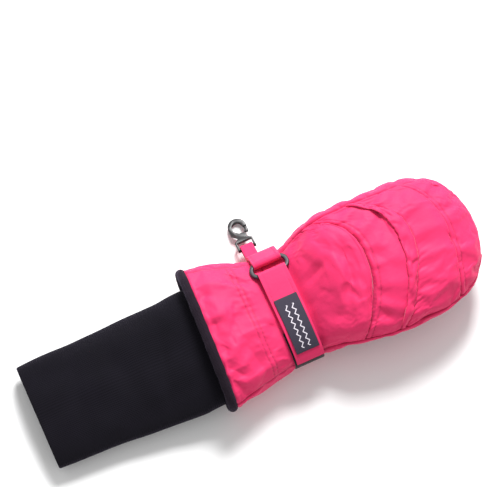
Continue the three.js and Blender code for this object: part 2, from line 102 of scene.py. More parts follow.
def triangles(names):
    """The three corners of every triangle of some nodes, in millimetres."""
    found = []
    for name in names:
        mesh = frame["nodes"][name].data
        mesh.calc_loop_triangles()
        places = np.empty(len(mesh.vertices) * 3)
        mesh.vertices.foreach_get("co", places)
        corners = np.empty(len(mesh.loop_triangles) * 3, int)
        mesh.loop_triangles.foreach_get("vertices", corners)
        found.append(places.reshape(-1, 3)[corners.reshape(-1, 3)] / MM)
    return np.concatenate(found)


def new_mesh(name, places, faces, uvs=None, sunk=None):
    """A mesh object from corners in millimetres. uvs holds a pair for each corner, sunk a number."""
    mesh = bpy.data.meshes.new(name)
    mesh.from_pydata((np.asarray(places) * MM).tolist(), [], faces)
    if uvs is not None:
        layer = mesh.uv_layers.new(name="UVMap")
        order = np.empty(len(mesh.loops), int)
        mesh.loops.foreach_get("vertex_index", order)
        layer.data.foreach_set("uv", np.asarray(uvs)[order].ravel())
    if sunk is not None:
        mesh.attributes.new("sunk", "FLOAT", "POINT").data.foreach_set("value", sunk.ravel())
    mesh.shade_smooth()
    piece = bpy.data.objects.new(name, mesh)
    bpy.context.scene.collection.objects.link(piece)
    return piece


def apply_modifiers(piece):
    deselect()
    bpy.context.view_layer.objects.active = piece
    piece.select_set(True)
    for modifier in list(piece.modifiers):
        bpy.ops.object.modifier_apply(modifier=modifier.name)
    piece.select_set(False)


# %% [markdown]
# ## Camera
#
# The mitten is looked down on from a steep angle, a little turned, so that its fingers point to the
# upper right. A long lens stands well back and keeps the shape flat, as in a catalogue.

# %% Camera
CAMERA_TURN = math.radians(-24.3)
CAMERA_LIFT = math.radians(75)
CAMERA_DISTANCE = 1.5
VIEW_WIDTH = 0.331  # metres across the frame, at the mitten

right = Vector((math.cos(CAMERA_TURN), math.sin(CAMERA_TURN), 0))
forward = Vector((-math.sin(CAMERA_TURN), math.cos(CAMERA_TURN), 0))
target = right * -0.0033 + forward * 0.0427 + Vector((0, 0, 0.020))
back_off = -forward * math.cos(CAMERA_LIFT) + Vector((0, 0, math.sin(CAMERA_LIFT)))
bpy.ops.object.camera_add(location=target + back_off * CAMERA_DISTANCE)
camera = bpy.context.object
camera.name = "camera"
camera.rotation_euler = (-back_off).to_track_quat("-Z", "Y").to_euler()
camera.data.lens = camera.data.sensor_width * CAMERA_DISTANCE / VIEW_WIDTH
bpy.context.scene.camera = camera
print("lens", round(camera.data.lens), "mm")

# %% [markdown]
# ## Materials
#
# Each finish is a small network of nodes. The helpers keep the networks short: `node` adds one and
# sets its values, and an input that is itself a socket is linked.

# %% Material helpers
def rgb(code):
    """A colour from its hexadecimal code, as the linear light that shaders work in."""
    parts = [int(code[i : i + 2], 16) / 255 for i in (0, 2, 4)]
    return (*(p / 12.92 if p <= 0.04045 else ((p + 0.055) / 1.055) ** 2.4 for p in parts), 1)


class Finish:
    """A material under construction."""

    def __init__(self, name, **values):
        self.material = bpy.data.materials.new(name)
        self.material.use_nodes = True
        self.tree = self.material.node_tree
        self.shader = self.tree.nodes["Principled BSDF"]
        for key, value in values.items():
            self.shader.inputs[key.replace("_", " ").title()].default_value = value

    def node(self, kind, output=0, inputs=(), **settings):
        made = self.tree.nodes.new("ShaderNode" + kind)
        for key, value in settings.items():
            setattr(made, key, value)
        for key, value in dict(inputs).items():
            if isinstance(value, bpy.types.NodeSocket):
                self.tree.links.new(value, made.inputs[key])
            else:
                made.inputs[key].default_value = value
        return made.outputs[output]

    def math(self, operation, a, b=0.5, c=0.5):
        return self.node("Math", inputs={0: a, 1: b, 2: c}, operation=operation)

    def mix(self, factor, a, b):
        """Colour a where factor is 0 and b where it is 1."""
        inputs = {0: factor, 6: a, 7: b}
        return self.node("Mix", output=2, inputs=inputs, data_type="RGBA")

    def place(self, source="Object"):
        return self.node("TexCoord", output=source)

    def noise(self, place, scale, detail=2, output=0):
        inputs = {"Vector": place, "Scale": scale, "Detail": detail}
        return self.node("TexNoise", output=output, inputs=inputs)

    def bump(self, height, depth, normal=None):
        """depth is in metres for a height of one."""
        inputs = {"Height": height, "Distance": depth, "Strength": 1.0}
        if normal is not None:
            inputs["Normal"] = normal
        return self.node("Bump", inputs=inputs)

    def set(self, key, socket):
        self.tree.links.new(socket, self.shader.inputs[key])


# %% [markdown]
# The shell is coated nylon: a tight plain weave, dyed one strong pink, with a soft satin gloss. Two
# crossed wave patterns on the cloth's own UV map make the threads, and a slow noise makes the dye
# and the gloss vary as they do on cloth that has been handled.

# %% Nylon
NYLON_PINK = "df2d64"


def nylon(name, code, dark):
    finish = Finish(name, roughness=0.5, sheen_weight=0.2, sheen_roughness=0.4)
    finish.shader.inputs["Sheen Tint"].default_value = rgb("ffc2d6")
    finish.shader.inputs["Specular IOR Level"].default_value = 0.24
    cloth = finish.place("UV")
    threads = [
        finish.node(
            "TexWave",
            inputs={"Vector": cloth, "Scale": 340},
            output=1,
            bands_direction=direction,
        )
        for direction in ("X", "Y")
    ]
    weave = finish.math("MULTIPLY", threads[0], threads[1])
    slow = finish.noise(finish.place(), 26, 3)
    dyed = finish.mix(finish.math("MULTIPLY", slow, 0.5), rgb(code), rgb(dark))
    # Painted shade: the nylon is mixed towards a dark red where the sunk attribute marks stitched lines,
    # seam grooves and the underside of the pleat.
    seams = finish.node("Attribute", output=2, attribute_name="sunk")
    shaded = finish.mix(finish.math("MULTIPLY", seams, 0.75), dyed, rgb("8c1a3e"))
    finish.set("Base Color", shaded)
    fine = finish.noise(finish.place(), 420, 3)
    normal = finish.bump(fine, 0.00012)
    finish.set("Normal", finish.bump(weave, 0.00002, normal))
    gloss = finish.math("MULTIPLY_ADD", slow, 0.16, 0.56)
    finish.set("Roughness", gloss)
    return finish.material


shell_nylon = nylon("pink_nylon", NYLON_PINK, "d5275b")

# %% [markdown]
# The palm is faced with a plum-grey grip cloth, coated in small pebbles. Voronoi cells give the
# pebbles: each is highest in its middle, and the valleys between them are a little darker.

# %% Grip cloth
def grip_cloth():
    finish = Finish("pebbled_grip", roughness=0.62)
    finish.shader.inputs["Specular IOR Level"].default_value = 0.4
    cells = finish.node(
        "TexVoronoi",
        inputs={"Vector": finish.place("UV"), "Scale": 620},
        feature="DISTANCE_TO_EDGE",
    )
    pebble = finish.math("MINIMUM", finish.math("MULTIPLY", cells, 4.0), 1.0)
    finish.set("Base Color", finish.mix(pebble, rgb("2c2230"), rgb("54445a")))
    finish.set("Normal", finish.bump(pebble, 0.00022))
    return finish.material


grip_finish = grip_cloth()

# %% [markdown]
# The cuff is a fine stretch knit. Its wales run along the arm as close rows of small V-shaped
# stitches, which two waves make: one across the wales, and one along them that is bent by the
# first. The binding is the same knit with finer wales, and the tapes share a simpler, fuzzy finish.

# %% Knit, binding, tapes and lining
def knit(name, code, light, wales):
    finish = Finish(name, roughness=0.95, sheen_weight=0.35, sheen_roughness=0.35)
    finish.shader.inputs["Sheen Tint"].default_value = rgb("8a7f9c")
    finish.shader.inputs["Specular IOR Level"].default_value = 0.15
    parts = finish.node("SeparateXYZ", inputs={0: finish.place("UV")})
    along, across = parts.node.outputs[0], parts.node.outputs[1]
    wale = finish.math("PINGPONG", finish.math("MULTIPLY", across, wales), 0.5)
    lean = finish.math("MULTIPLY_ADD", wale, 0.9, finish.math("MULTIPLY", along, wales * 0.8))
    stitch = finish.math("PINGPONG", lean, 0.5)
    relief = finish.math("MULTIPLY_ADD", stitch, 0.6, wale)
    slow = finish.noise(finish.place(), 60, 4)
    # Painted shade: the knit is darker between its raised stitches and lighter on them; the slow noise
    # adds the yarn's uneven tone.
    shade = finish.math("MULTIPLY_ADD", relief, 0.5, finish.math("MULTIPLY", slow, 0.45))
    finish.set("Base Color", finish.mix(shade, rgb(code), rgb(light)))
    finish.set("Normal", finish.bump(relief, 0.0003))
    return finish.material


def fuzzy(name, code, light, scale=900, depth=0.0002, sheen=0.25):
    finish = Finish(name, roughness=0.9, sheen_weight=sheen, sheen_roughness=0.4)
    finish.shader.inputs["Specular IOR Level"].default_value = 0.2
    fibres = finish.noise(finish.place(), scale, 4)
    finish.set("Base Color", finish.mix(fibres, rgb(code), rgb(light)))
    finish.set("Normal", finish.bump(fibres, depth))
    return finish.material


cuff_knit = knit("black_knit", "07060a", "16131d", 900)
binding_knit = knit("binding_knit", "150f15", "2a1f2b", 1100)
loop_finish = fuzzy("loop_tape_fuzz", "100c11", "2a222b", 1600, 0.0005)
hook_finish = fuzzy("hook_tape_hooks", "0d0a0e", "2b252d", 2600, 0.0004, 0)
lining_fleece = fuzzy("brushed_lining", "18151c", "2c2733", 700, 0.0004)
batting_fibre = fuzzy("fibre_fill", "dcd9d2", "f7f5f0", 300, 0.0006)
insert_film = fuzzy("waterproof_film", "c3c9ce", "e6eaec", 200, 0.0001, 0)
elastic_braid = fuzzy("elastic_braid", "d8d4cc", "f3f0ea", 1500, 0.0002, 0)

# %% [markdown]
# The ring is moulded plastic with a satin face, and the clip is the same stuff with more gloss. A
# fine noise in the roughness keeps the highlights from looking like glass.

# %% Plastic
def plastic(name, code, roughness):
    finish = Finish(name, base_color=rgb(code))
    grain = finish.noise(finish.place(), 1800, 3)
    finish.set("Roughness", finish.math("MULTIPLY_ADD", grain, 0.14, roughness))
    finish.set("Normal", finish.bump(grain, 0.00001))
    return finish.material


ring_plastic = plastic("satin_plastic", "231c26", 0.4)
clip_plastic = plastic("gloss_plastic", "0d090e", 0.32)

# %% [markdown]
# ## The shape of the soft parts
#
# The hand, the thumb and the cuff are limbs: rounded sections strung along X. Their size is
# measured here by slicing the frame's own panels. At each slice the two points farthest to the
# sides give the middle, the width and the roll of the section, and the reach above and below gives
# its thickness.

# %% Measure a section
def section(corners, x):
    """Middle y and z, half width, half thickness and roll of the outline at x."""
    points = []
    for a, b in ((0, 1), (1, 2), (2, 0)):
        start, end = corners[:, a], corners[:, b]
        crosses = (start[:, 0] - x) * (end[:, 0] - x) < 0
        start, end = start[crosses], end[crosses]
        share = (x - start[:, :1]) / (end[:, :1] - start[:, :1])
        points.append((start + share * (end - start))[:, 1:])
    points = np.concatenate(points)
    if len(points) == 0:
        return None
    left, right_end = points[points[:, 0].argmin()], points[points[:, 0].argmax()]
    middle = (left + right_end) / 2
    span = right_end - left
    roll = math.atan2(span[1], span[0])
    up = np.array([-math.sin(roll), math.cos(roll)])
    reach = (points - middle) @ up
    middle = middle + up * (reach.max() + reach.min()) / 2
    return [*middle, np.hypot(*span) / 2, (reach.max() - reach.min()) / 2, roll]


# %% [markdown]
# A limb's skin can then be asked for at any place: so far along it, at an angle round it, and at a
# depth below it. Past its last section the limb closes in a rounded cap, where the place along it
# is the length of the arc over the end.

# %% Limbs
SQUARENESS = 2.3  # 2 would make each section an ellipse
ends_in = lambda value, power: np.sign(value) * np.abs(value) ** (2 / power)


class Limb:
    def __init__(self, nodes, start, first, last, cap=None):
        """start is where the limb's own length is counted from; cap is (arc, tip, squareness)."""
        corners = triangles(nodes)
        self.start, self.last, self.cap = start, last, cap
        slices = [(place, section(corners, start + place)) for place in np.arange(first, last, 2.9)]
        slices = [(place, found) for place, found in slices if found]  # none in a seam's gap
        self.places = np.array([place for place, _ in slices])
        rows = np.array([found for _, found in slices])
        wide = np.pad(rows, ((1, 1), (0, 0)), mode="edge")
        self.rows = (wide[:-2] + wide[1:-1] + wide[2:]) / 3
        if cap:
            far = corners.reshape(-1, 3)
            tip = far[far[:, 0] > cap[1] - 0.4].mean(axis=0)
            self.drift = tip[1:] - self.rows[-1, :2]

    def at(self, place, degrees, depth=0):
        place, degrees, depth = np.broadcast_arrays(
            *(np.asarray(v, float) for v in (place, degrees, depth))
        )
        y, z, wide, thick, roll = (
            np.interp(place, self.places, self.rows[:, k]) for k in range(5)
        )
        x = self.start + np.minimum(place, self.last)
        shrink = 1.0
        if self.cap:
            arc, tip, square = self.cap
            turn = np.clip((place - self.last) / arc, 0, 1) * math.pi / 2
            reach = ends_in(np.sin(turn), square)
            shrink = ends_in(np.clip(np.cos(turn), 0, 1), square)
            x = x + reach * (tip - self.start - self.last - depth)
            y, z = y + reach * self.drift[0], z + reach * self.drift[1]
        angle = np.radians(degrees)
        across = (wide - depth) * shrink * ends_in(np.cos(angle), SQUARENESS)
        up = (thick - depth) * shrink * ends_in(np.sin(angle), SQUARENESS)
        return np.stack(
            [
                x,
                y + across * np.cos(roll) - up * np.sin(roll),
                z + across * np.sin(roll) + up * np.cos(roll),
            ],
            axis=-1,
        )


SHELL = [
    "gauntlet_back", "gauntlet_palm", "hand_back", "knuckle_panel", "finger_panel", "tip_panel",
    "palm_heel", "side_little_finger", "side_first_finger", "palm_tip", "palm_grip",
]
hem = low("gauntlet_back")[0] - 2.2
tip = high("tip_panel")[0]
hand = Limb(SHELL, hem, 3, 146, cap=(80, tip, 2.4))
thumb = Limb(
    ["thumb_inner_panel", "thumb_outer_panel"], hem, 96, 135,
    cap=(36, high("thumb_outer_panel")[0], 2.2),
)
cuff = Limb(["cuff_sleeve", "cuff_root"], hem, low("cuff_sleeve")[0] - hem + 0.5, 30)
print("hem at", round(hem, 1), "tip at", round(tip, 1), "mm")
print("the hand is up to", 2 * hand.rows[:, 2].round(1).max(), "mm wide")

# %% [markdown]
# ## The padded shell
#
# The shell is sewn from twelve panels, and each one is padded between its seams. One net of cloth
# covers the whole hand. Its rows follow the seams that cross the back in arcs, and its columns
# follow the seams along the sides, so every seam is a line of the net. The table gives the places
# of the cross seams: at the thumb's edge, at the little finger's edge, and how far the arc rises
# between them.

# %% The net's rows
# name, thumb's edge, little finger's edge, rise, shift and lift of a fold, rows since the last one
CROSS_SEAMS = [
    ("hem", 5.5, 1, 0, 0, 0, 0),
    ("double_stitch", 34, 34, 0, 0, 0, 17),
    ("gauntlet", 54, 54, 0, 0, 0, 9),
    ("grip_start", 70, 70, 3, 0, 0, 8),
    ("knuckle", 93, 97, 24, 0, 0, 22),
    ("pleat_root", 119, 121, 25, 3, -0.3, 13),
    ("pleat_fold", 120, 122, 25, -2.5, 2.4, 3),
    ("pleat_stitch", 122.5, 124.5, 25, 2.5, 0.5, 4),
    ("tip", 155, 165, 16, 0, 0, 21),
    ("palm_tip", 205, 205, 3, 0, 0, 17),
    ("end", 225.5, 225.5, 0, 0, 0, 12),
]
BACK_START, BACK_END = 27, 168  # degrees round the hand, from the thumb's side over the back
GRIP_START, GRIP_END = 221, 350
SIDE_SEAMS = [
    ("thumb_side", BACK_START, 0),
    ("little_side", BACK_END, 48),
    ("grip_little", GRIP_START, 14),
    ("grip_thumb", GRIP_END, 36),
    ("round", 360 + BACK_START, 9),
]


def spread(table, column, count_column):
    """A table's column, filled in evenly between its rows."""
    values = [table[0][column]]
    for before, row in zip(table, table[1:]):
        values.extend(np.linspace(before[column], row[column], row[count_column] + 1)[1:])
    return np.array(values)


row_of = dict(zip([r[0] for r in CROSS_SEAMS], np.cumsum([r[6] for r in CROSS_SEAMS])))
column_of = dict(zip([c[0] for c in SIDE_SEAMS], np.cumsum([c[2] for c in SIDE_SEAMS])))
thumb_edge, little_edge, rise, shift, lift = (
    spread(CROSS_SEAMS, k, 6)[:, None] for k in range(1, 6)
)
degrees = spread(SIDE_SEAMS, 1, 2)[None, :]
on_back = degrees <= BACK_END
share = np.where(
    on_back,
    (degrees - BACK_START) / (BACK_END - BACK_START),
    1 - (degrees - BACK_END) / (360 + BACK_START - BACK_END),
)
arch = np.where(on_back, np.sin(math.pi * np.clip(share, 0, 1) ** 0.7), 0)
fold = np.clip(arch * 2.2, 0, 1)
along = thumb_edge + (little_edge - thumb_edge) * share + rise * arch**1.5 + shift * fold
print("net of", along.shape[0], "rows and", along.shape[1], "columns")

# %% [markdown]
# Seams are pinned a little below the skin, and the cloth between them starts just above it. A
# slight unevenness lets the cloth wrinkle by itself rather than move evenly.

# %% Pin the seams
SEAM_DEPTH = 0.5
CLOTH_DEPTH = -0.5
pinned = np.zeros(along.shape, bool)
for name in ("hem", "gauntlet", "end"):
    pinned[row_of[name]] = True
for name in ("knuckle", "pleat_root", "pleat_fold", "pleat_stitch", "tip"):
    pinned[row_of[name], : column_of["little_side"] + 1] = True
pinned[row_of["palm_tip"], column_of["little_side"] :] = True
pinned[row_of["grip_start"], column_of["grip_little"] : column_of["grip_thumb"] + 1] = True
for name in ("thumb_side", "little_side", "round"):
    pinned[:, column_of[name]] = True
for name in ("grip_little", "grip_thumb"):
    pinned[row_of["grip_start"] : row_of["palm_tip"], column_of[name]] = True

depth = np.where(pinned, SEAM_DEPTH, CLOTH_DEPTH) - lift * fold
depth[row_of["end"]] = 0.3
start_shape = hand.at(along, degrees, depth)
uneven = np.array([[noise.noise(Vector(p) * 0.09) for p in row] for row in start_shape])
outward = hand.at(along, degrees, depth - 1) - start_shape
outward /= np.linalg.norm(outward, axis=-1, keepdims=True)
start_shape += outward * np.where(pinned, 0, uneven * 0.8)[..., None]
start_shape[:, -1] = start_shape[:, 0]

# %% [markdown]
# Blender's cloth then presses the net in between its pinned seams: the net's faces look inwards, and
# pressure acts the way that they look. The cloth is cut two per cent too large, as a padded shell
# is, so it puckers along the seams and creases between them.

# %% Press the net
def net_faces(rows, columns, closed):
    """Faces of a net, wound so that they look inwards; a closed net's last column is its first."""
    wrap = columns - 1 if closed else columns
    faces = []
    for i in range(rows - 1):
        for j in range(columns - 1):
            k = (j + 1) % wrap if closed else j + 1
            faces.append((i * wrap + j, (i + 1) * wrap + j, (i + 1) * wrap + k, i * wrap + k))
    return faces


def press_in(name, net, pins, slack, pressure=6, frames=22, bending=0.3):
    """The net's shape once pressure has pushed its cloth inwards between the pins."""
    rows, columns = net.shape[:2]
    piece = new_mesh(name, net[:, :-1].reshape(-1, 3), net_faces(rows, columns, True))
    group = piece.vertex_groups.new(name="seams")
    group.add(np.flatnonzero(pins[:, :-1]).tolist(), 1.0, "REPLACE")
    modifier = piece.modifiers.new("cloth", "CLOTH")
    cloth = modifier.settings
    cloth.quality = 6
    cloth.vertex_group_mass = "seams"
    cloth.use_pressure = True
    cloth.uniform_pressure_force = pressure
    cloth.bending_stiffness = bending
    cloth.shrink_min = -slack
    cloth.effector_weights.gravity = 0
    modifier.collision_settings.use_collision = False
    for step in range(1, frames + 1):
        bpy.context.scene.frame_set(step)
    shaped = piece.evaluated_get(bpy.context.evaluated_depsgraph_get()).to_mesh()
    places = np.empty(len(shaped.vertices) * 3)
    shaped.vertices.foreach_get("co", places)
    result = places.reshape(rows, columns - 1, 3) / MM
    bpy.data.objects.remove(piece)
    bpy.context.scene.frame_set(1)
    return np.concatenate([result, result[:, :1]], axis=1)


pressed = press_in("shell_form", start_shape, pinned, slack=0.02)
moved = np.linalg.norm(pressed - start_shape, axis=-1)
print("the cloth moved", moved.mean().round(2), "mm on average and", moved.max().round(1), "at most")

# %% [markdown]
# The simulation gives the puckers, but it presses the cloth in farther than the filling would let
# it, most of all beyond the wrist. So on the back its large waves are taken out, and in their place
# the filling lifts each panel, most in its middle.

# %% Filling under the back
def ease(value):
    """From 0 to 1 as value goes from 0 to 1, starting and stopping gently."""
    value = np.clip(value, 0, 1)
    return value * value * (3 - 2 * value)


def smooth(values, reach):
    """values averaged over about that many rows and columns."""
    weights = np.exp(-((np.arange(-2 * reach, 2 * reach + 1) / reach) ** 2))
    weights /= weights.sum()
    for axis in (0, 1):
        ends = [(2 * reach, 2 * reach) if axis == k else (0, 0) for k in (0, 1)]
        wide = np.pad(values, ends, mode="edge")
        values = np.apply_along_axis(np.convolve, axis, wide, weights, "valid")
    return values


# panel's first seam, its last seam, how far the filling lifts it in millimetres
FILLING = [
    ("hem", "gauntlet", 1.5),
    ("gauntlet", "knuckle", 3.2),
    ("knuckle", "pleat_root", 1.2),
    ("pleat_stitch", "tip", 1.8),
    ("tip", "end", 1.2),
]
filling = np.zeros(along.shape)
middle_part = ease(np.minimum(degrees - BACK_START, BACK_END - degrees) / 45) * on_back
for first, last, height in FILLING:
    from_first, to_last = along - along[row_of[first]], along[row_of[last]] - along
    inside = (from_first >= 0) & (to_last >= 0)
    lifted = height * ease(from_first / 14) * ease(to_last / 9)
    filling = np.where(inside, lifted * middle_part, filling)

# %% [markdown]
# The cloth is then kept near the skin. It may stand out only a little where something lies on it,
# under the strap, on the palm above the thumb and at the floor, and it may sink only so far that
# the layers below stay hidden.

# %% Hold the cloth back
WRIST = 59  # the place of the strap's middle along the hand
PUCKERS_KEPT = 0.7  # how much of the simulated puckers' height stays
WAVE_REACH = 5  # rows and columns; wider waves are taken out


def limits(place, around):
    """How far the cloth may stand out from the skin and sink into it, in millimetres."""
    back = 0.4 + 6.6 * ease((np.abs(place - WRIST) - 11) / 11)
    palm = np.where((around > GRIP_START - 8) & (around < GRIP_END), 1.3, 2.2)
    outline = 0.6 + 6 * np.clip((68 - np.abs(around - 95)) / 40, 0, 1)
    most = np.where(around > BACK_END, np.minimum(back, palm), np.minimum(back, outline))
    deepest = np.where(around > BACK_END, 0.7, 1.45)
    return most, np.where(place < 56, 0.8, deepest)


def place_by_x(limb, net, place):
    """Places along a limb by where the points really lie; at its very tip, their first places."""
    arc, tip, square = limb.cap
    ahead = net[..., 0] - limb.start
    reach = np.clip((ahead - limb.last) / (tip - limb.start - limb.last), 0, 1)
    on_cap = limb.last + np.arcsin(reach ** (square / 2)) / (math.pi / 2) * arc
    found = np.where(ahead < limb.last, ahead, on_cap)
    return found + (place - found) * ease((reach - 0.6) / 0.3)


def hold(net, limb, place, around, most, deepest, floor=0.3, filling=None):
    """The net with each point kept between a depth below the skin and a height above it."""
    place = place_by_x(limb, net, place)
    skin = limb.at(place, around, 0)
    direction = limb.at(place, around, -1) - skin
    direction /= np.linalg.norm(direction, axis=-1, keepdims=True)
    height = ((net - skin) * direction).sum(-1)
    wanted = height
    if filling is not None:
        wanted = PUCKERS_KEPT * (height - smooth(height, WAVE_REACH)) + filling
    soft = np.where(wanted > 0, most * np.tanh(wanted / most), wanted)
    kept = np.maximum(soft, -deepest)
    net = net + direction * (kept - height)[..., None]
    net[..., 2] = np.maximum(net[..., 2], floor)
    return net


fold_rows = np.zeros(along.shape, bool)
fold_rows[row_of["pleat_root"] + 1 : row_of["pleat_stitch"]] = on_back
filled = hold(pressed, hand, along, degrees, *limits(along, degrees), filling=filling)
held = hold(pressed, hand, along, degrees, *limits(along, degrees))
shell_net = np.where((on_back & ~pinned)[..., None], filled, held)
shell_net = np.where(fold_rows[..., None], pressed, shell_net)

# %% [markdown]
# The simulated net is too coarse to show stitching, so it is made finer: between two seams each
# point lies on a smooth curve through its neighbours, and at the seams themselves the curves stop,
# so the seam stays a crisp valley.

# %% Make a net finer
FINER = 3


def refine(values, stops, times=FINER):
    """values along their first axis on smooth curves that break at the stops."""
    parts = []
    for a, b in zip(stops, stops[1:]):
        part = values[a : b + 1]
        ends = [2 * part[:1] - part[1:2], part, 2 * part[-1:] - part[-2:-1]]
        p = np.concatenate(ends)
        t = (np.arange(times) / times).reshape((1, -1) + (1,) * (values.ndim - 1))
        p0, p1, p2, p3 = (p[k : len(p) - 3 + k, None] for k in range(4))
        curve = 0.5 * (
            2 * p1 + (p2 - p0) * t
            + (2 * p0 - 5 * p1 + 4 * p2 - p3) * t**2
            + (3 * p1 - p0 - 3 * p2 + p3) * t**3
        )
        parts.append(curve.reshape((-1,) + values.shape[1:]))
    parts.append(values[stops[-1]][None])
    return np.concatenate(parts)


row_stops, column_stops = list(row_of.values()), list(column_of.values())


def refine_net(values):
    finer = refine(values, row_stops)
    return np.swapaxes(refine(np.swapaxes(finer, 0, 1), column_stops), 0, 1)


fine = refine_net(shell_net)
fine_along = refine_net(along)
fine_degrees = refine_net(np.broadcast_to(degrees, along.shape).astype(float))
fine_row = {name: FINER * row for name, row in row_of.items()}
fine_column = {name: FINER * column for name, column in column_of.items()}
print("finer net:", fine.shape[0], "by", fine.shape[1])

# %% [markdown]
# ### Puckers, stitch lines and creases
#
# A sewing machine draws the cloth in as it goes. So along each seam the cloth has short ripples
# that run away from the thread and fade, a sunken line where the row of topstitching runs, and
# fine random crinkles everywhere. All of these are small moves along the surface's normal.

# %% Ripples and stitch lines
def normals(net):
    """The direction out of the net at each of its points."""
    across = np.gradient(net, axis=1)
    across[:, 0] = across[:, -1] = net[:, 1] - net[:, -2]
    out = np.cross(across, np.gradient(net, axis=0))
    length = np.linalg.norm(out, axis=-1, keepdims=True)
    out = out / np.maximum(length, 1e-9)
    return out * np.sign((out * (net - net.mean(axis=1, keepdims=True))).sum(-1).mean())


def ripple(distance, step, seed):
    """Uneven waves along a seam, from -1 to 1, about one in every step millimetres."""
    knots = np.random.default_rng(seed).uniform(-1, 1, 4000)
    at = distance / step + 100
    base = np.floor(at).astype(int)
    t = at - base
    t = t * t * (3 - 2 * t)
    return knots[base] * (1 - t) + knots[base + 1] * t


def run(net, axis):
    """How far each point is along its row or column, in millimetres."""
    steps = np.linalg.norm(np.diff(net, axis=axis), axis=-1)
    first = np.zeros_like(np.take(steps, [0], axis=axis))
    return np.concatenate([first, np.cumsum(steps, axis=axis)], axis=axis)


across_run, along_run = run(fine, 1), run(fine, 0)
back_only = (fine_degrees <= BACK_END).astype(float)
ends_fade = np.clip(np.minimum(fine_degrees - BACK_START, BACK_END - fine_degrees) / 8, 0, 1)
move = np.zeros(fine.shape[:2])
# How strongly the nylon is painted darker as shade: in the topstitched lines, in the seam grooves and
# under the pleat's fold.
sunk = np.zeros(fine.shape[:2])  # how deep in a stitched line each point lies, from 0 to 1

# name, strength, how far the ripples reach before and after the seam, topstitch offsets
SEAM_LOOK = [
    ("double_stitch", 0.30, 4, 4, (-1.6, 1.6)),
    ("knuckle", 0.34, 3, 6, (0.9, 4.6)),
    ("pleat_stitch", 0.42, 3.5, 7, (0.3,)),
    ("tip", 0.26, 2.5, 6, (0.8, 4.4)),
]
for seed, (name, strength, before, after, offsets) in enumerate(SEAM_LOOK):
    gap = along_run - along_run[fine_row[name]]
    reach = np.where(gap < 0, before, after)
    fade = np.exp(-((gap / reach) ** 2)) * back_only * ends_fade
    waves = ripple(across_run + 0.25 * gap, 2.1, seed) + 0.6 * ripple(across_run, 4.7, seed + 50)
    move += strength * waves * fade
    holes = 0.5 + 0.5 * np.cos(2 * math.pi * across_run / 2.9)
    for offset in offsets:
        line = np.exp(-(((gap - offset) / 0.6) ** 2)) * back_only * ends_fade
        move -= 0.4 * line
        # Painted shade in the stitched line, darker at each needle hole.
        sunk = np.maximum(sunk, line * (0.35 + 0.5 * holes))
for seed, name in enumerate(("thumb_side", "little_side")):
    gap = across_run - across_run[:, fine_column[name]][:, None]
    fade = np.exp(-((gap / 4.0) ** 2))
    move += 0.22 * ripple(along_run, 3.2, seed + 20) * fade
gap = across_run - across_run[:, fine_column["round"]][:, None]
move += 0.22 * ripple(along_run, 3.2, 20) * np.exp(-((gap / 4.0) ** 2))

# %% [markdown]
# The thread pulls the seam itself down into a narrow groove. How near each point is to such a
# groove is also kept, so that painted shade can darken the nylon there, where little light gets in.

# %% Grooves
def groove(distance, half_width):
    return np.exp(-((distance / half_width) ** 2))


GROOVED = ("knuckle", "tip", "gauntlet")
cross_gap = [np.abs(along_run - along_run[fine_row[name]]) for name in GROOVED]
side_gap = [
    np.abs(across_run - across_run[:, fine_column[name]][:, None])
    for name in ("thumb_side", "little_side", "round")
]
grooves = np.maximum.reduce([groove(gap, 0.7) * back_only for gap in cross_gap])
grooves = np.maximum(grooves, np.maximum.reduce([groove(gap, 0.8) for gap in side_gap]))
move -= 0.7 * grooves
# Painted shade on the knuckle panel where it runs in under the pleat's fold.
under_fold = (along_run - along_run[fine_row["pleat_root"]]) / 2.5
sunk = np.maximum.reduce([sunk, 0.7 * grooves, groove(under_fold, 0.6) * back_only * ends_fade])

# %% [markdown]
# Across the palm's side of the wrist runs a piece of elastic that gathers the cloth into short
# lengthwise pleats.

# %% Gathers over the elastic
gather = np.exp(-(((fine_along - WRIST) / 11) ** 2)) * np.clip((fine_degrees - 176) / 14, 0, 1)
gather *= np.clip((366 - fine_degrees) / 14, 0, 1)
move += 0.75 * gather * (ripple(across_run, 2.6, 31) - 0.35)

# %% [markdown]
# The larger creases come from how the mitten has been handled: the filling has been pushed away in
# places, and the cloth breaks there in folds with flat sides. Each fold is a line on the back with
# a height, below zero for a valley, and a reach to either side over which its flat flank runs out.
# Places are in millimetres from the hem and from the hem's middle.

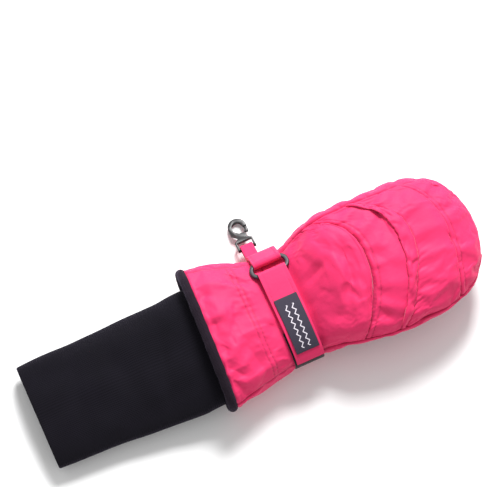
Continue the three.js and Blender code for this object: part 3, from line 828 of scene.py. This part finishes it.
# %% Folds in the back
# from, to, height, reach on the left, reach on the right
FOLDS = [
    ((105, 16), (104, -7), -3.4, 13, 5),
    ((104, -7), (95, -17), -2.4, 10, 5),
    ((98, 12), (97, -4), 1.0, 6, 5),
    ((75, 4), (91, 10), -1.6, 5, 4),
    ((69, -12), (80, -7), -0.9, 4, 4),
    ((86, 27), (96, 34), -0.9, 5, 5),
    ((84, -22), (92, -34), -1.0, 5, 5),
    ((111, -12), (108, -31), -2.2, 14, 4),
    ((107, -28), (106, -41), -1.6, 6, 6),
    ((93, -42), (106, -31), 1.2, 6, 6),
    ((117, -41), (111, -34), -1.4, 5, 5),
    ((139, 30), (140, 8), -1.4, 2, 9),
    ((117, 29), (128, 25), -0.9, 5, 5),
    ((124, 2), (132, -10), -0.9, 6, 5),
    ((150, 34), (158, 30), -0.7, 5, 5),
    ((140, -32), (152, -30), -0.8, 5, 6),
    ((148, -8), (162, -6), -0.6, 6, 6),
    ((5, 4), (17, 2), -1.9, 4, 6),
    ((5, 21), (13, 26), -1.2, 4, 5),
    ((5, -10), (11, -17), -1.2, 4, 4),
    ((4, -25), (14, -36), -1.7, 5, 4),
    ((4, -34), (10, -46), -1.6, 4, 5),
    ((28, 12), (21, -13), -1.6, 8, 7),
    ((14, 12), (13, -4), 0.9, 6, 5),
    ((23, -18), (28, -40), -1.5, 6, 6),
    ((38, -8), (48, -15), -1.6, 4, 7),
    ((24, 43), (31, 27), -1.5, 8, 5),
    ((31, 27), (42, 19), -1.3, 8, 4),
    ((20, 34), (14, 22), 0.8, 6, 6),
]
hem_middle = np.array([hem, (low("hem_binding")[1] + high("hem_binding")[1]) / 2])
flat = fine[..., :2] - hem_middle


def crisp(value, soft=0.12):
    """The absolute value, slightly rounded at zero."""
    return np.sqrt(value * value + soft * soft) - soft


def fold_height(a, b, height, left, right):
    """How far a fold moves each point of the back."""
    a, b = np.array(a, float), np.array(b, float)
    length = np.linalg.norm(b - a)
    ahead = (b - a) / length
    offset = flat - a
    far = offset @ ahead / length
    away = offset @ np.array([-ahead[1], ahead[0]])
    flank = np.clip(1 - crisp(away / np.where(away > 0, left, right)), 0, 1)
    taper = np.clip(np.minimum(far + 0.35, 1.35 - far) / 0.7, 0, 1)
    return height * flank * ease(taper)


edge = np.minimum(fine_degrees - BACK_START, BACK_END - fine_degrees)
upper = back_only * np.clip(edge / 10, 0, 1)
for line in FOLDS:
    move += fold_height(*line) * upper


# %% [markdown]
# The finest crinkles are folded noise: its sharp valleys look like thin, slightly stiff nylon.

# %% Crinkles
def crinkle(net, size, seed):
    """Noise with crisp folds, from 0 to 1, on cells of about that size in millimetres."""
    shift = Vector((seed * 13.7, seed * 5.1, 0))
    values = [abs(noise.noise(Vector(p) / size + shift)) for p in net.reshape(-1, 3)]
    return np.array(values).reshape(net.shape[:2])


seam_gap = np.minimum.reduce(
    [np.abs(along_run - along_run[fine_row[name]]) for name in ("knuckle", "pleat_stitch", "tip")]
)
free = np.clip(seam_gap / 6, 0.35, 1)
rough = crinkle(fine, 30, 1) * 0.7 + crinkle(fine, 11, 2) * 0.08
move += (rough - rough.mean()) * free * np.where(fine_degrees > BACK_END, 0.5, 1.0)

# %% Apply the moves
near_strap = np.clip((np.abs(fine_along - WRIST) - 10) / 6, 0.12, 1)
near_end = np.clip((225 - fine_along) / 12, 0, 1)
out = normals(fine)
shell_surface = fine + out * (move * near_strap * near_end)[..., None]
most, deepest = limits(fine_along, fine_degrees)
held = hold(shell_surface, hand, fine_along, fine_degrees, most + 0.6, deepest)
fold_band = np.zeros(fine.shape[:2], bool)
fold_band[fine_row["pleat_root"] + 1 : fine_row["pleat_stitch"]] = fine_degrees[:1] <= BACK_END
shell_surface = np.where(fold_band[..., None], shell_surface, held)
shell_surface[:, -1] = shell_surface[:, 0]

# %% [markdown]
# ### Cut the net into its panels
#
# Each panel takes its part of the net and gets the cloth's thickness from a Solidify modifier, so
# that at a seam two panels meet with an edge each.

# %% Panels
CLOTH_THICK = 0.45
PERIMETER = 236  # millimetres round the hand, for the cloth's own map


def panel(name, material, rows, columns, body="hand", net=None):
    """One sewn panel: the net between two rows and two columns."""
    net = shell_surface if net is None else net
    part = net[rows[0] : rows[1] + 1, columns[0] : columns[1] + 1]
    u = fine_along[rows[0] : rows[1] + 1, columns[0] : columns[1] + 1]
    v = fine_degrees[rows[0] : rows[1] + 1, columns[0] : columns[1] + 1] / 360 * PERIMETER
    uvs = np.stack([u, v], axis=-1).reshape(-1, 2) * MM
    faces = net_faces(part.shape[0], part.shape[1], False)
    shade = sunk[rows[0] : rows[1] + 1, columns[0] : columns[1] + 1]
    piece = new_mesh(name, part.reshape(-1, 3), faces, uvs, shade)
    piece.data.materials.append(material)
    return finish_cloth(piece, body)


def finish_cloth(piece, body):
    """Give a net its wall, which stands outside it because the net's faces look inwards."""
    wall = piece.modifiers.new("wall", "SOLIDIFY")
    wall.thickness = CLOTH_THICK * MM
    wall.offset = -1
    apply_modifiers(piece)
    if body:
        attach(piece, body)
    return piece


r, c = fine_row, fine_column
whole_palm = (c["little_side"], c["round"])
back = (c["thumb_side"], c["little_side"])
under_grip = (c["grip_little"], c["grip_thumb"])
to_palm_tip = (r["gauntlet"], r["palm_tip"])
PANELS = [
    ("gauntlet_back", "shell", (0, r["gauntlet"]), back, 0.4),
    ("hand_back", "shell", (r["gauntlet"], r["knuckle"]), back, 0.6),
    ("knuckle_panel", "shell", (r["knuckle"], r["pleat_root"]), back, 0.6),
    ("knuckle_pleat", "shell", (r["pleat_root"], r["pleat_stitch"]), back, 0.3),
    ("finger_panel", "shell", (r["pleat_stitch"], r["tip"]), back, 0.6),
    ("tip_panel", "shell", (r["tip"], r["end"]), back, 0.6),
    ("gauntlet_palm", "shell", (0, r["gauntlet"]), whole_palm, 0.4),
    ("palm_heel", "shell", (r["gauntlet"], r["grip_start"]), under_grip, 0.4),
    ("side_little_finger", "shell", to_palm_tip, (c["little_side"], c["grip_little"]), 0.5),
    ("side_first_finger", "shell", to_palm_tip, (c["grip_thumb"], c["round"]), 0.5),
    ("palm_grip", "grip", (r["grip_start"], r["palm_tip"]), under_grip, 0.5),
    ("palm_tip", "shell", (r["palm_tip"], r["end"]), whole_palm, 0.5),
]
for name, slot, rows, columns, fill in PANELS:
    material = grip_finish if slot == "grip" else shell_nylon
    piece = panel(name + "_cloth", material, rows, columns)
    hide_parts(name)
    print(f"{name}: {len(piece.data.polygons)} faces")

# %% [markdown]
# ## The thumb
#
# The thumb is a padded tube of two panels, sewn along its two edges. It starts inside the palm
# and is pressed like the hand.

# %% Thumb
THUMB_ROWS, THUMB_COLUMNS = 44, 64
thumb_along = np.linspace(66, 170.6, THUMB_ROWS)[:, None] + np.zeros((1, THUMB_COLUMNS + 1))
thumb_degrees = np.linspace(0, 360, THUMB_COLUMNS + 1)[None, :] + np.zeros((THUMB_ROWS, 1))
thumb_pins = np.zeros(thumb_along.shape, bool)
thumb_pins[0] = thumb_pins[-1] = True
for column in (0, THUMB_COLUMNS // 2, THUMB_COLUMNS):
    thumb_pins[:, column] = True


def thumb_skin(place, around, below):
    """The thumb's skin; nearer the palm than its first measured section it rises into the palm."""
    near = thumb.at(np.maximum(place, 96), around, below)
    back_by = np.maximum(96 - place, 0)
    middle = (thumb.at(96, 0, 0)[2] + thumb.at(96, 180, 0)[2]) / 2
    thicker = np.interp(back_by, (0, 20, 34), (1, 1.105, 1.05))
    near[..., 0] -= back_by
    near[..., 1] += back_by * 0.1
    near[..., 2] = middle + (near[..., 2] - middle) * thicker
    near[..., 2] += np.interp(back_by, (0, 20, 34), (0, 1.85, 6.35))
    return near


def hold_thumb(net, place, around, most, deepest):
    """The thumb's net, kept near its skin and off the floor."""
    actual = np.where(place > 96, np.maximum(place_by_x(thumb, net, place), 96), place)
    skin = thumb_skin(actual, around, 0)
    direction = thumb_skin(actual, around, -1) - skin
    direction /= np.linalg.norm(direction, axis=-1, keepdims=True)
    height = ((net - skin) * direction).sum(-1)
    net = net + direction * (np.clip(height, -deepest, most) - height)[..., None]
    net[..., 2] = np.maximum(net[..., 2], 0.25)
    return net


thumb_start = thumb_skin(thumb_along, thumb_degrees, np.where(thumb_pins, 0.5, 0.2))
thumb_start[:, -1] = thumb_start[:, 0]
thumb_pressed = press_in("thumb_form", thumb_start, thumb_pins, slack=0.05)
thumb_pressed = hold_thumb(thumb_pressed, thumb_along, thumb_degrees, 1.0, 0.5)


def refine_plain(values, columns):
    finer = refine(values, [0, len(values) - 1])
    return np.swapaxes(refine(np.swapaxes(finer, 0, 1), columns), 0, 1)


thumb_stops = [0, THUMB_COLUMNS // 2, THUMB_COLUMNS]
thumb_fine = refine_plain(thumb_pressed, thumb_stops)
thumb_fine_along = refine_plain(thumb_along, thumb_stops)
thumb_fine_degrees = refine_plain(thumb_degrees, thumb_stops)
thumb_run = run(thumb_fine, 0)
edge_gap = np.minimum(np.abs(((thumb_fine_degrees + 90) % 180) - 90) / 60 * 18, 30)
thumb_move = 0.4 * ripple(thumb_run, 3.0, 61) * np.exp(-((edge_gap / 4.5) ** 2))
tip_gap = np.clip((thumb_fine_along - 140) / 24, 0, 1)
thumb_move += 0.5 * tip_gap * ripple(thumb_fine_degrees * 0.3, 2.4, 62) * (1 - tip_gap) * 3
thumb_rough = crinkle(thumb_fine, 14, 5) * 1.2 + crinkle(thumb_fine, 6, 6) * 0.5
thumb_move += (thumb_rough - thumb_rough.mean()) * 0.8
thumb_surface = thumb_fine + normals(thumb_fine) * thumb_move[..., None]
deepest = np.where(thumb_fine_along > 138, -0.3, 0.45)
thumb_surface = hold_thumb(thumb_surface, thumb_fine_along, thumb_fine_degrees, 1.4, deepest)
thumb_surface[:, -1] = thumb_surface[:, 0]

knuckle_point = (thumb_skin(74, 0, 0) + thumb_skin(74, 180, 0)) / 2
fold_point = (thumb_skin(92, 0, 0) + thumb_skin(92, 180, 0)) / 2
half_way = FINER * THUMB_COLUMNS // 2
for name, first in (("thumb_inner_panel", 0), ("thumb_outer_panel", half_way)):
    last = first + half_way
    part = thumb_surface[:, first : last + 1]
    uvs = np.stack([thumb_fine_along, thumb_fine_degrees / 3], axis=-1)[:, first : last + 1]
    faces = net_faces(part.shape[0], part.shape[1], False)
    piece = new_mesh(name + "_cloth", part.reshape(-1, 3), faces, uvs.reshape(-1, 2) * MM)
    piece.data.materials.append(shell_nylon)
    finish_cloth(piece, None)
    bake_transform(piece)
    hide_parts(name)

# %% [markdown]
# ## The knitted cuff
#
# The cuff is one tube of stretch knit, doubled over at its open end. The net runs from inside the
# hand out over the cuff's outer face, round the fold, and back along its inner face. Slow waves and
# a few cross folds show how soft it is.

# %% Knitted cuff
CUFF_COLUMNS = 150
CUFF_WALL = 2.2
cuff_end = low("cuff_sleeve")[0] - hem
cuff_root = high("cuff_root")[0] - hem
outer = np.linspace(cuff_root, cuff_end + CUFF_WALL / 2, 120)
turn = np.linspace(0, math.pi, 9)[1:-1]
fold_along = cuff_end + CUFF_WALL / 2 * (1 - np.sin(turn))
fold_depth = CUFF_WALL / 2 * (1 - np.cos(turn))
profile_along = np.concatenate([outer, fold_along, outer[::-1]])
profile_depth = np.concatenate([0 * outer, fold_depth, 0 * outer + CUFF_WALL])
cuff_along = profile_along[:, None] + np.zeros((1, CUFF_COLUMNS + 1))
cuff_degrees = np.linspace(0, 360, CUFF_COLUMNS + 1)[None, :] + 0 * cuff_along
cuff_net = cuff.at(cuff_along, cuff_degrees, profile_depth[:, None])
cuff_out = cuff.at(cuff_along, cuff_degrees, -1) - cuff.at(cuff_along, cuff_degrees, 0)
cuff_out /= np.linalg.norm(cuff_out, axis=-1, keepdims=True)
waves = np.array(
    [
        [noise.noise(Vector((p[0] * 0.035, p[1] * 0.05, p[2] * 0.05))) for p in row]
        for row in cuff_net
    ]
)
folds = np.zeros(cuff_along.shape)
cuff_top = np.clip(np.sin(np.radians(cuff_degrees)), 0, 1)
for place, deep, wide, lean in ((-30, 1.5, 5, 0.25), (-58, 1.1, 7, -0.2), (-92, 0.9, 6, 0.15)):
    line = place + lean * (cuff_net[..., 1] - cuff_net[..., 1].mean())
    folds -= deep * np.exp(-(((cuff_along - line) / wide) ** 2)) * cuff_top
tucked = np.clip((-cuff_along - 4) / 14, 0, 1)
cuff_net = cuff_net + cuff_out * (tucked * (1.5 * waves + folds - 0.3))[..., None]
cuff_net[..., 2] = np.maximum(cuff_net[..., 2], 0.2 + profile_depth[:, None] * 0.9)
cuff_net[:, -1] = cuff_net[:, 0]
faces = net_faces(len(cuff_net), CUFF_COLUMNS + 1, True)
uvs = np.stack([cuff_along, cuff_degrees / 360 * 190], axis=-1)[:, :-1].reshape(-1, 2) * MM
knitted_cuff = new_mesh("knitted_cuff", cuff_net[:, :-1].reshape(-1, 3), faces, uvs)
editing = bmesh.new()
editing.from_mesh(knitted_cuff.data)
bmesh.ops.bridge_loops(editing, edges=[e for e in editing.edges if e.is_boundary])
bmesh.ops.recalc_face_normals(editing, faces=editing.faces)
editing.to_mesh(knitted_cuff.data)
editing.free()
knitted_cuff.data.materials.append(cuff_knit)
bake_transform(knitted_cuff)
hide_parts("cuff_sleeve", "cuff_root")

# %% [markdown]
# ## The hem's binding
#
# A strip of knit is folded over the raw edge of the gauntlet and sewn through. It makes a soft roll
# that swells and narrows a little as the thread pulls it in.

# %% Hem binding
BINDING_ROLL = 3.3
HEM_LEAN = 4.5  # how much farther up the hand the hem sits on the thumb's side
around, ring_steps = 300, 16
angle = np.linspace(0, 360, around + 1)[:, None]
binding_x = (low("hem_binding")[0] + high("hem_binding")[0]) / 2 - hem
middle = hand.at(3, angle[:, 0], 1.0)
thumbwards = (middle[:, 1] - middle[:, 1].min()) / np.ptp(middle[:, 1])
middle[:, 0] = hem + binding_x + HEM_LEAN * thumbwards
edge = np.roll(middle[:-1], -1, axis=0) - np.roll(middle[:-1], 1, axis=0)
edge = np.concatenate([edge, edge[:1]])
edge /= np.linalg.norm(edge, axis=-1, keepdims=True)
outward_edge = np.stack([0 * edge[:, 0], edge[:, 2], -edge[:, 1]], axis=-1)
side = np.linspace(0, 2 * math.pi, ring_steps + 1)[None, :]
distance = np.concatenate([[0], np.cumsum(np.linalg.norm(np.diff(middle, axis=0), axis=-1))])
swell = 1 + 0.05 * ripple(distance, 5.5, 71) + 0.03 * ripple(distance, 2.2, 72)
swell[-1] = swell[0]
pinch = 1 - 0.10 * np.exp(-((np.abs(side - math.pi / 2) / 0.35) ** 2))
radius = BINDING_ROLL * swell[:, None] * pinch
roll = middle[:, None] + outward_edge[:, None] * (radius * np.cos(side))[..., None]
roll[..., 0] += radius * np.sin(side) * 1.05
roll[..., 2] = np.maximum(roll[..., 2], 0.15)
roll[-1], roll[:, -1] = roll[0], roll[:, 0]
faces = [
    (i * ring_steps + j, ((i + 1) % around) * ring_steps + j,
     ((i + 1) % around) * ring_steps + (j + 1) % ring_steps, i * ring_steps + (j + 1) % ring_steps)
    for i in range(around) for j in range(ring_steps)
]
uvs = np.stack([0 * radius + side * 3, 0 * radius + distance[:, None]], axis=-1)[:-1, :-1]
binding = new_mesh("hem_binding_roll", roll[:-1, :-1].reshape(-1, 3), faces, uvs.reshape(-1, 2) * MM)
editing = bmesh.new()
editing.from_mesh(binding.data)
bmesh.ops.recalc_face_normals(editing, faces=editing.faces)
editing.to_mesh(binding.data)
editing.free()
binding.data.materials.append(binding_knit)
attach(binding, "hand")
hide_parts("hem_binding")

# %% [markdown]
# ## Straps, tapes and loops
#
# Each strap is a band that follows a line in a plane across the hand. The line is read back from
# the frame's own solid: the face at the band's edge is an outline whose two long sides lie either
# side of the line, so the points half way between them are the line itself.

# %% Read a band's line from the frame
def band_line(node):
    """The line that a band follows, as y and z, with its edges in x and its thickness."""
    corners = triangles([node])
    x0, x1 = corners[..., 0].min(), corners[..., 0].max()
    face = corners[(np.abs(corners[..., 0] - x0) < 1e-3).all(axis=1)][..., 1:].round(3)
    uses = {}
    for triangle in face:
        points = [tuple(p) for p in triangle]
        for a, b in zip(points, points[1:] + points[:1]):
            uses.setdefault(frozenset((a, b)), []).append((a, b))
    follow = dict(edges[0] for edges in uses.values() if len(edges) == 1)
    loop = [next(iter(follow))]
    while follow[loop[-1]] != loop[0]:
        loop.append(follow[loop[-1]])
    loop = np.array(loop)
    ahead = np.roll(loop, -1, axis=0) - loop
    behind = loop - np.roll(loop, 1, axis=0)
    cosine = (ahead * behind).sum(1) / np.linalg.norm(ahead, axis=1) / np.linalg.norm(behind, axis=1)
    corner = np.sort(np.argsort(cosine)[:4])
    count = len(loop)
    gaps = [(corner[(k + 1) % 4] - corner[k]) % count for k in range(4)]
    first = next(k for k in range(4) if gaps[k] == 1)
    start_corner = corner[(first + 1) % 4]
    loop = np.roll(loop, -start_corner, axis=0)
    half = count // 2
    line = (loop[:half] + loop[half:][::-1]) / 2
    return line, x0, x1, np.linalg.norm(loop[0] - loop[-1])


# %% [markdown]
# A band starts as a flat grid with a row of faces for each step of the line. Its corners are moved
# onto the line, rows of stitching near the long edges are sunk a little, and a Solidify modifier
# gives the webbing its thickness.

# %% Make a band
def smooth_line(line, step=1.0):
    """The line with a point every step millimetres, on smooth curves."""
    dense = refine(line, [0, len(line) - 1], 12)
    far = np.concatenate([[0], np.cumsum(np.linalg.norm(np.diff(dense, axis=0), axis=1))])
    even = np.linspace(0, far[-1], max(4, round(far[-1] / step)) + 1)
    return np.stack([np.interp(even, far, dense[:, k]) for k in (0, 1)], axis=-1), even


edge_rows = {}  # for each body, the lines that the edges of its bands are stitched along


def band(name, node, material, body, across=24, sunk=2.2, wave=0.0, stitch_from=0):
    line, x0, x1, webbing = band_line(node)
    line, far = smooth_line(line)
    deselect()
    bpy.ops.mesh.primitive_grid_add(x_subdivisions=across, y_subdivisions=len(line) - 1, size=1)
    piece = bpy.context.object
    piece.name = piece.data.name = name
    flat_grid = np.array([v.co for v in piece.data.vertices])
    share_across = flat_grid[:, 0] + 0.5
    index = np.rint((flat_grid[:, 1] + 0.5) * (len(line) - 1)).astype(int)
    tangent = np.gradient(line, axis=0)
    tangent /= np.linalg.norm(tangent, axis=1, keepdims=True)
    normal = np.stack([-tangent[:, 1], tangent[:, 0]], axis=-1)
    width = x1 - x0
    from_edge = np.minimum(share_across, 1 - share_across) * width
    dip = 0.16 * np.exp(-(((from_edge - sunk) / 0.45) ** 2)) if sunk else 0 * from_edge
    dip = dip * np.sign((normal[:, 1].mean() or 1))
    waves = wave * ripple(far[index] + 3 * share_across, 9, 81)
    if sunk:
        facing = np.sign((normal * (line - line.mean(axis=0))).sum())
        for x in (x0 + sunk, x1 - sunk):
            top = line + normal * facing * webbing / 2
            row = np.column_stack([np.full(len(line), x), top])[far >= stitch_from]
            outwards = np.column_stack([0 * far, normal * facing])[far >= stitch_from]
            edge_rows.setdefault(body, []).append((row, outwards))
    places = np.empty((len(flat_grid), 3))
    places[:, 0] = x0 + share_across * width
    places[:, 1:] = line[index] + normal[index] * (waves - dip)[:, None]
    piece.data.vertices.foreach_set("co", (places * MM).ravel())
    order = np.empty(len(piece.data.loops), int)
    piece.data.loops.foreach_get("vertex_index", order)
    uvs = np.stack([share_across * width, far[index]], axis=-1) * MM
    piece.data.uv_layers.active.data.foreach_set("uv", uvs[order].ravel())
    wall = piece.modifiers.new("wall", "SOLIDIFY")
    wall.thickness = webbing * MM
    wall.offset = 0
    rim = piece.modifiers.new("rim", "BEVEL")
    rim.width = 0.2 * webbing * MM
    rim.segments = 2
    rim.limit_method = "ANGLE"
    apply_modifiers(piece)
    piece.data.shade_smooth()
    piece.data.materials.append(material)
    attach(piece, body)
    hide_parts(node)
    print(f"{name}: {far[-1]:.0f} mm long, {width:.0f} mm wide")
    return piece


band("strap_lower_layer", "strap_base", shell_nylon, "hand")
band("strap_upper_layer", "strap_tab", shell_nylon, "tab", wave=0.25, stitch_from=16)
band("landing_tape", "loop_tape", loop_finish, "hand", sunk=0)
band("gripping_tape", "hook_tape", hook_finish, "tab", sunk=0)
band("ring_band", "ring_anchor", shell_nylon, "hand")
band("keeper_band", "keeper_loop", shell_nylon, "hand", across=12, sunk=1.4)

# %% [markdown]
# The label is woven in one dark colour with a lighter thread for its pattern: here a plain motif of
# two zigzag lines along it, worked out from the label's own UV map.

# %% Label
LABEL_LENGTH, LABEL_WIDTH = 0.0425, 0.0165


def woven(name):
    finish = Finish(name, roughness=0.75)
    parts = finish.node("SeparateXYZ", inputs={0: finish.place("UV")}).node
    across, lengthways = parts.outputs[0], parts.outputs[1]

    def stripe(value, middle, half):
        away = finish.math("ABSOLUTE", finish.math("SUBTRACT", value, middle))
        return finish.math("LESS_THAN", away, half)

    zigzag = finish.math("PINGPONG", lengthways, 0.0022)
    centred = finish.math("SUBTRACT", across, finish.math("MULTIPLY_ADD", zigzag, 0.9, -0.001))
    lines = [stripe(centred, LABEL_WIDTH * place, 0.00042) for place in (0.36, 0.64)]
    inside = stripe(lengthways, LABEL_LENGTH * 0.5, LABEL_LENGTH * 0.36)
    pattern = finish.math("MULTIPLY", finish.math("MAXIMUM", *lines), inside)
    threads = finish.node(
        "TexWave", inputs={"Vector": finish.place("UV"), "Scale": 700}, output=1, bands_direction="Y"
    )
    ground = finish.mix(threads, rgb("221d2c"), rgb("322b3f"))
    finish.set("Base Color", finish.mix(pattern, ground, rgb("d9d3dc")))
    relief = finish.math("MULTIPLY_ADD", pattern, 1.2, threads)
    finish.set("Normal", finish.bump(relief, 0.00006))
    return finish.material


band("woven_label_patch", "woven_label", woven("woven_label"), "tab", across=20, sunk=0)

# %% [markdown]
# ## Ring
#
# The ring is a flat moulded frame with round ends. It starts as a cube, its upright corners are
# bevelled round, and its top and bottom are inset and bridged to open the window for the strap.

# %% Ring
def modelled(name, material, slot, body, *nodes):
    """Finish a piece modelled with operators: material, body and what it replaces."""
    piece = bpy.context.object
    piece.name = piece.data.name = name
    piece.data.materials.append(material)
    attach(piece, body)
    if nodes:
        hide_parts(*nodes)
    return piece


def select_where(piece, test, kind="edges"):
    """In edit mode: select only the edges or faces that pass a test."""
    editing = bmesh.from_edit_mesh(piece.data)
    for vertex in editing.verts:
        vertex.select = False
    for item in [*editing.edges, *editing.faces]:
        item.select = False
    for item in getattr(editing, kind):
        if test(item):
            item.select = True
    bmesh.update_edit_mesh(piece.data)


joints = [joint for joint in frame["joints"] if joint["name"] in ("tab_peel", "ring_turn")]
bar_a, bar_b = sorted((Vector(joint["pos_m"]) for joint in joints), key=lambda place: place.y)
ring_middle = (bar_a + bar_b) / 2
ring_tilt = math.atan2(bar_b.z - bar_a.z, bar_b.y - bar_a.y)
BAR = 2.8 * MM
ring_length = (high("strap_ring") - low("strap_ring"))[0] * MM
ring_width = (bar_b - bar_a).length + BAR

deselect()
bpy.ops.mesh.primitive_cube_add(
    size=1,
    location=ring_middle,
    rotation=(ring_tilt, 0, 0),
    scale=(ring_length, ring_width, BAR * 0.82),
)
ring = bpy.context.object
bpy.ops.object.transform_apply(location=False, rotation=False, scale=True)
bpy.ops.object.mode_set(mode="EDIT")
select_where(ring, lambda e: abs(e.verts[0].co.z - e.verts[1].co.z) > BAR * 0.5)
bpy.ops.mesh.bevel(offset=ring_width * 0.46, segments=7, affect="EDGES")
select_where(ring, lambda f: abs(f.normal.z) > 0.9, "faces")
bpy.ops.mesh.inset(thickness=BAR * 1.02, depth=0)
bpy.ops.mesh.bridge_edge_loops()
bpy.ops.object.mode_set(mode="OBJECT")
soft = ring.modifiers.new("soft_edges", "BEVEL")
soft.width = 0.0007
soft.segments = 3
soft.limit_method = "ANGLE"
soft.angle_limit = math.radians(50)
apply_modifiers(ring)
ring.data.shade_smooth()
deselect()
ring.select_set(True)
bpy.context.view_layer.objects.active = ring
bpy.ops.object.transform_apply(location=True, rotation=True, scale=True)
modelled("strap_ring_moulded", ring_plastic, "plastic", "ring", "strap_ring")

# %% [markdown]
# ## Clip
#
# The clip's shape is already right in the frame. A copy has its doubles merged and its flat regions
# dissolved into single faces, and bevels soften its edges as moulding does.

# %% Clip
def soften(node, name, body, width):
    deselect()
    source = frame["nodes"][node]
    piece = bpy.data.objects.new(name, source.data.copy())
    bpy.context.scene.collection.objects.link(piece)
    bpy.context.view_layer.objects.active = piece
    piece.select_set(True)
    bpy.ops.object.mode_set(mode="EDIT")
    bpy.ops.mesh.select_all(action="SELECT")
    bpy.ops.mesh.remove_doubles(threshold=1e-5)
    bpy.ops.mesh.dissolve_limited(angle_limit=math.radians(4))
    bpy.ops.object.mode_set(mode="OBJECT")
    edge_bevel = piece.modifiers.new("soft_edges", "BEVEL")
    edge_bevel.width = width
    edge_bevel.segments = 3
    edge_bevel.limit_method = "ANGLE"
    edge_bevel.angle_limit = math.radians(40)
    apply_modifiers(piece)
    piece.data.materials.clear()
    deselect()
    piece.select_set(True)
    bpy.context.view_layer.objects.active = piece
    bpy.ops.object.shade_smooth_by_angle(angle=math.radians(45))
    return modelled(name, clip_plastic, "plastic", body, node)


soften("clip_body", "clip_moulded", "clip", 0.0004)
soften("clip_gate", "clip_gate_moulded", "gate", 0.0003)

# %% [markdown]
# ## Stitching
#
# A stitch is a short thread between two needle holes. One stitch is modelled once, a stretched
# sphere with few faces, and copied along each row. The rows are read from the finished surface, so
# the thread lies in the line that was sunk for it.

# %% Stitches
deselect()
bpy.ops.mesh.primitive_uv_sphere_add(segments=6, ring_count=4, radius=0.5)
pattern_stitch = bpy.context.object
stitch_places = np.array([v.co for v in pattern_stitch.data.vertices])[:, [2, 0, 1]]
stitch_faces = [list(p.vertices) for p in pattern_stitch.data.polygons]
bpy.data.objects.remove(pattern_stitch)
THREAD = 0.42


def along_row(at, far, values):
    """The values, which belong to places far along a row, read at one place."""
    return np.array([np.interp(at, far, values[:, k]) for k in range(3)])


def stitches(name, material, body, rows, pitch=2.9, length=2.3):
    """Stitches along rows of points, each row given with its outward directions."""
    places, faces = [], []
    for points, outwards in rows:
        far = np.concatenate([[0], np.cumsum(np.linalg.norm(np.diff(points, axis=0), axis=1))])
        for at in np.arange(pitch / 2, far[-1] - pitch / 2, pitch):
            ends = [along_row(at + s * length / 2, far, points) for s in (-1, 1)]
            up = along_row(at, far, outwards)
            middle, forward_dir = (ends[0] + ends[1]) / 2, ends[1] - ends[0]
            forward_dir /= np.linalg.norm(forward_dir)
            up = up - forward_dir * (up @ forward_dir)
            up /= np.linalg.norm(up)
            axes = np.stack([forward_dir * length, np.cross(up, forward_dir) * THREAD, up * THREAD * 0.8])
            faces.extend([[v + len(places) * len(stitch_places) for v in f] for f in stitch_faces])
            places.append(middle + up * 0.12 + stitch_places @ axes)
    piece = new_mesh(name, np.concatenate(places), faces)
    piece.data.materials.append(material)
    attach(piece, body)
    print(name, len(places), "stitches")
    return piece


surface_out = normals(shell_surface)


def row_at(name, offset, first=None, last=None):
    """The surface's points at an offset after a cross seam, column by column over the back."""
    first = fine_column["thumb_side"] + 4 if first is None else first
    last = fine_column["little_side"] - 4 if last is None else last
    runs = run(shell_surface, 0)
    points, outwards = [], []
    for j in range(first, last + 1):
        target_run = runs[fine_row[name], j] + offset
        points.append([np.interp(target_run, runs[:, j], shell_surface[:, j, k]) for k in range(3)])
        outwards.append([np.interp(target_run, runs[:, j], surface_out[:, j, k]) for k in range(3)])
    return np.array(points), np.array(outwards)


thread = fuzzy("pink_thread", "d92a5c", "f0487c", 2500, 0.00005, 0.1)
shell_rows = [row_at(name, offset) for name, _, _, _, offsets in SEAM_LOOK for offset in offsets]
stitches("shell_topstitching", thread, "hand", shell_rows)
for body, rows in edge_rows.items():
    stitches(body + "_band_stitching", thread, body, rows)

# %% [markdown]
# ## Finishes for the hidden layers
#
# The filling, the film and the lining lie inside the shell. They are carried over from the frame as
# they are and only get their finishes.

# %% Hidden layers
HIDDEN = {
    "batting_back": batting_fibre, "batting_palm": batting_fibre, "thumb_batting": batting_fibre,
    "waterproof_insert": insert_film, "lining": lining_fleece, "thumb_lining": lining_fleece,
    "gauntlet_facing": lining_fleece, "wrist_elastic": elastic_braid,
}
for name, material in HIDDEN.items():
    node = frame["nodes"][name]
    node.data.materials.clear()
    node.data.materials.append(material)

# %% [markdown]
# ## Floor and light
#
# A pale floor, a bright sky all round, and one large soft lamp beyond the thumb's side, which leaves
# the side of each fold that looks towards the little finger in shade.

# %% Floor and light
deselect()
bpy.ops.mesh.primitive_plane_add(size=6, location=(0, 0, 0))
floor = bpy.context.object
floor.name = "floor"
paper = Finish("paper_floor", base_color=(0.93, 0.93, 0.93, 1), roughness=0.9)
floor.data.materials.append(paper.material)
floor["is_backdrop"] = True

world = bpy.data.worlds.new("soft_sky")
bpy.context.scene.world = world
world.use_nodes = True
world.node_tree.nodes["Background"].inputs["Color"].default_value = (1, 1, 1, 1)
world.node_tree.nodes["Background"].inputs["Strength"].default_value = 0.62


def lamp(name, place, watts, size):
    bpy.ops.object.light_add(type="AREA", location=place)
    light = bpy.context.object
    light.name = name
    light.data.energy = watts
    light.data.size = size
    light.rotation_euler = (-Vector(place)).to_track_quat("-Z", "Y").to_euler()


lamp("key_lamp", right * 0.1 + forward * 0.9 + Vector((0, 0, 0.9)), 27, 0.45)
bpy.context.scene.view_settings.view_transform = "Standard"

# %% Record the size and finish
new_box = [list(corner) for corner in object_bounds()]
corners = zip(cad_box[0] + cad_box[1], new_box[0] + new_box[1])
print("grown by", [round((after - before) / MM, 1) for before, after in corners], "mm")
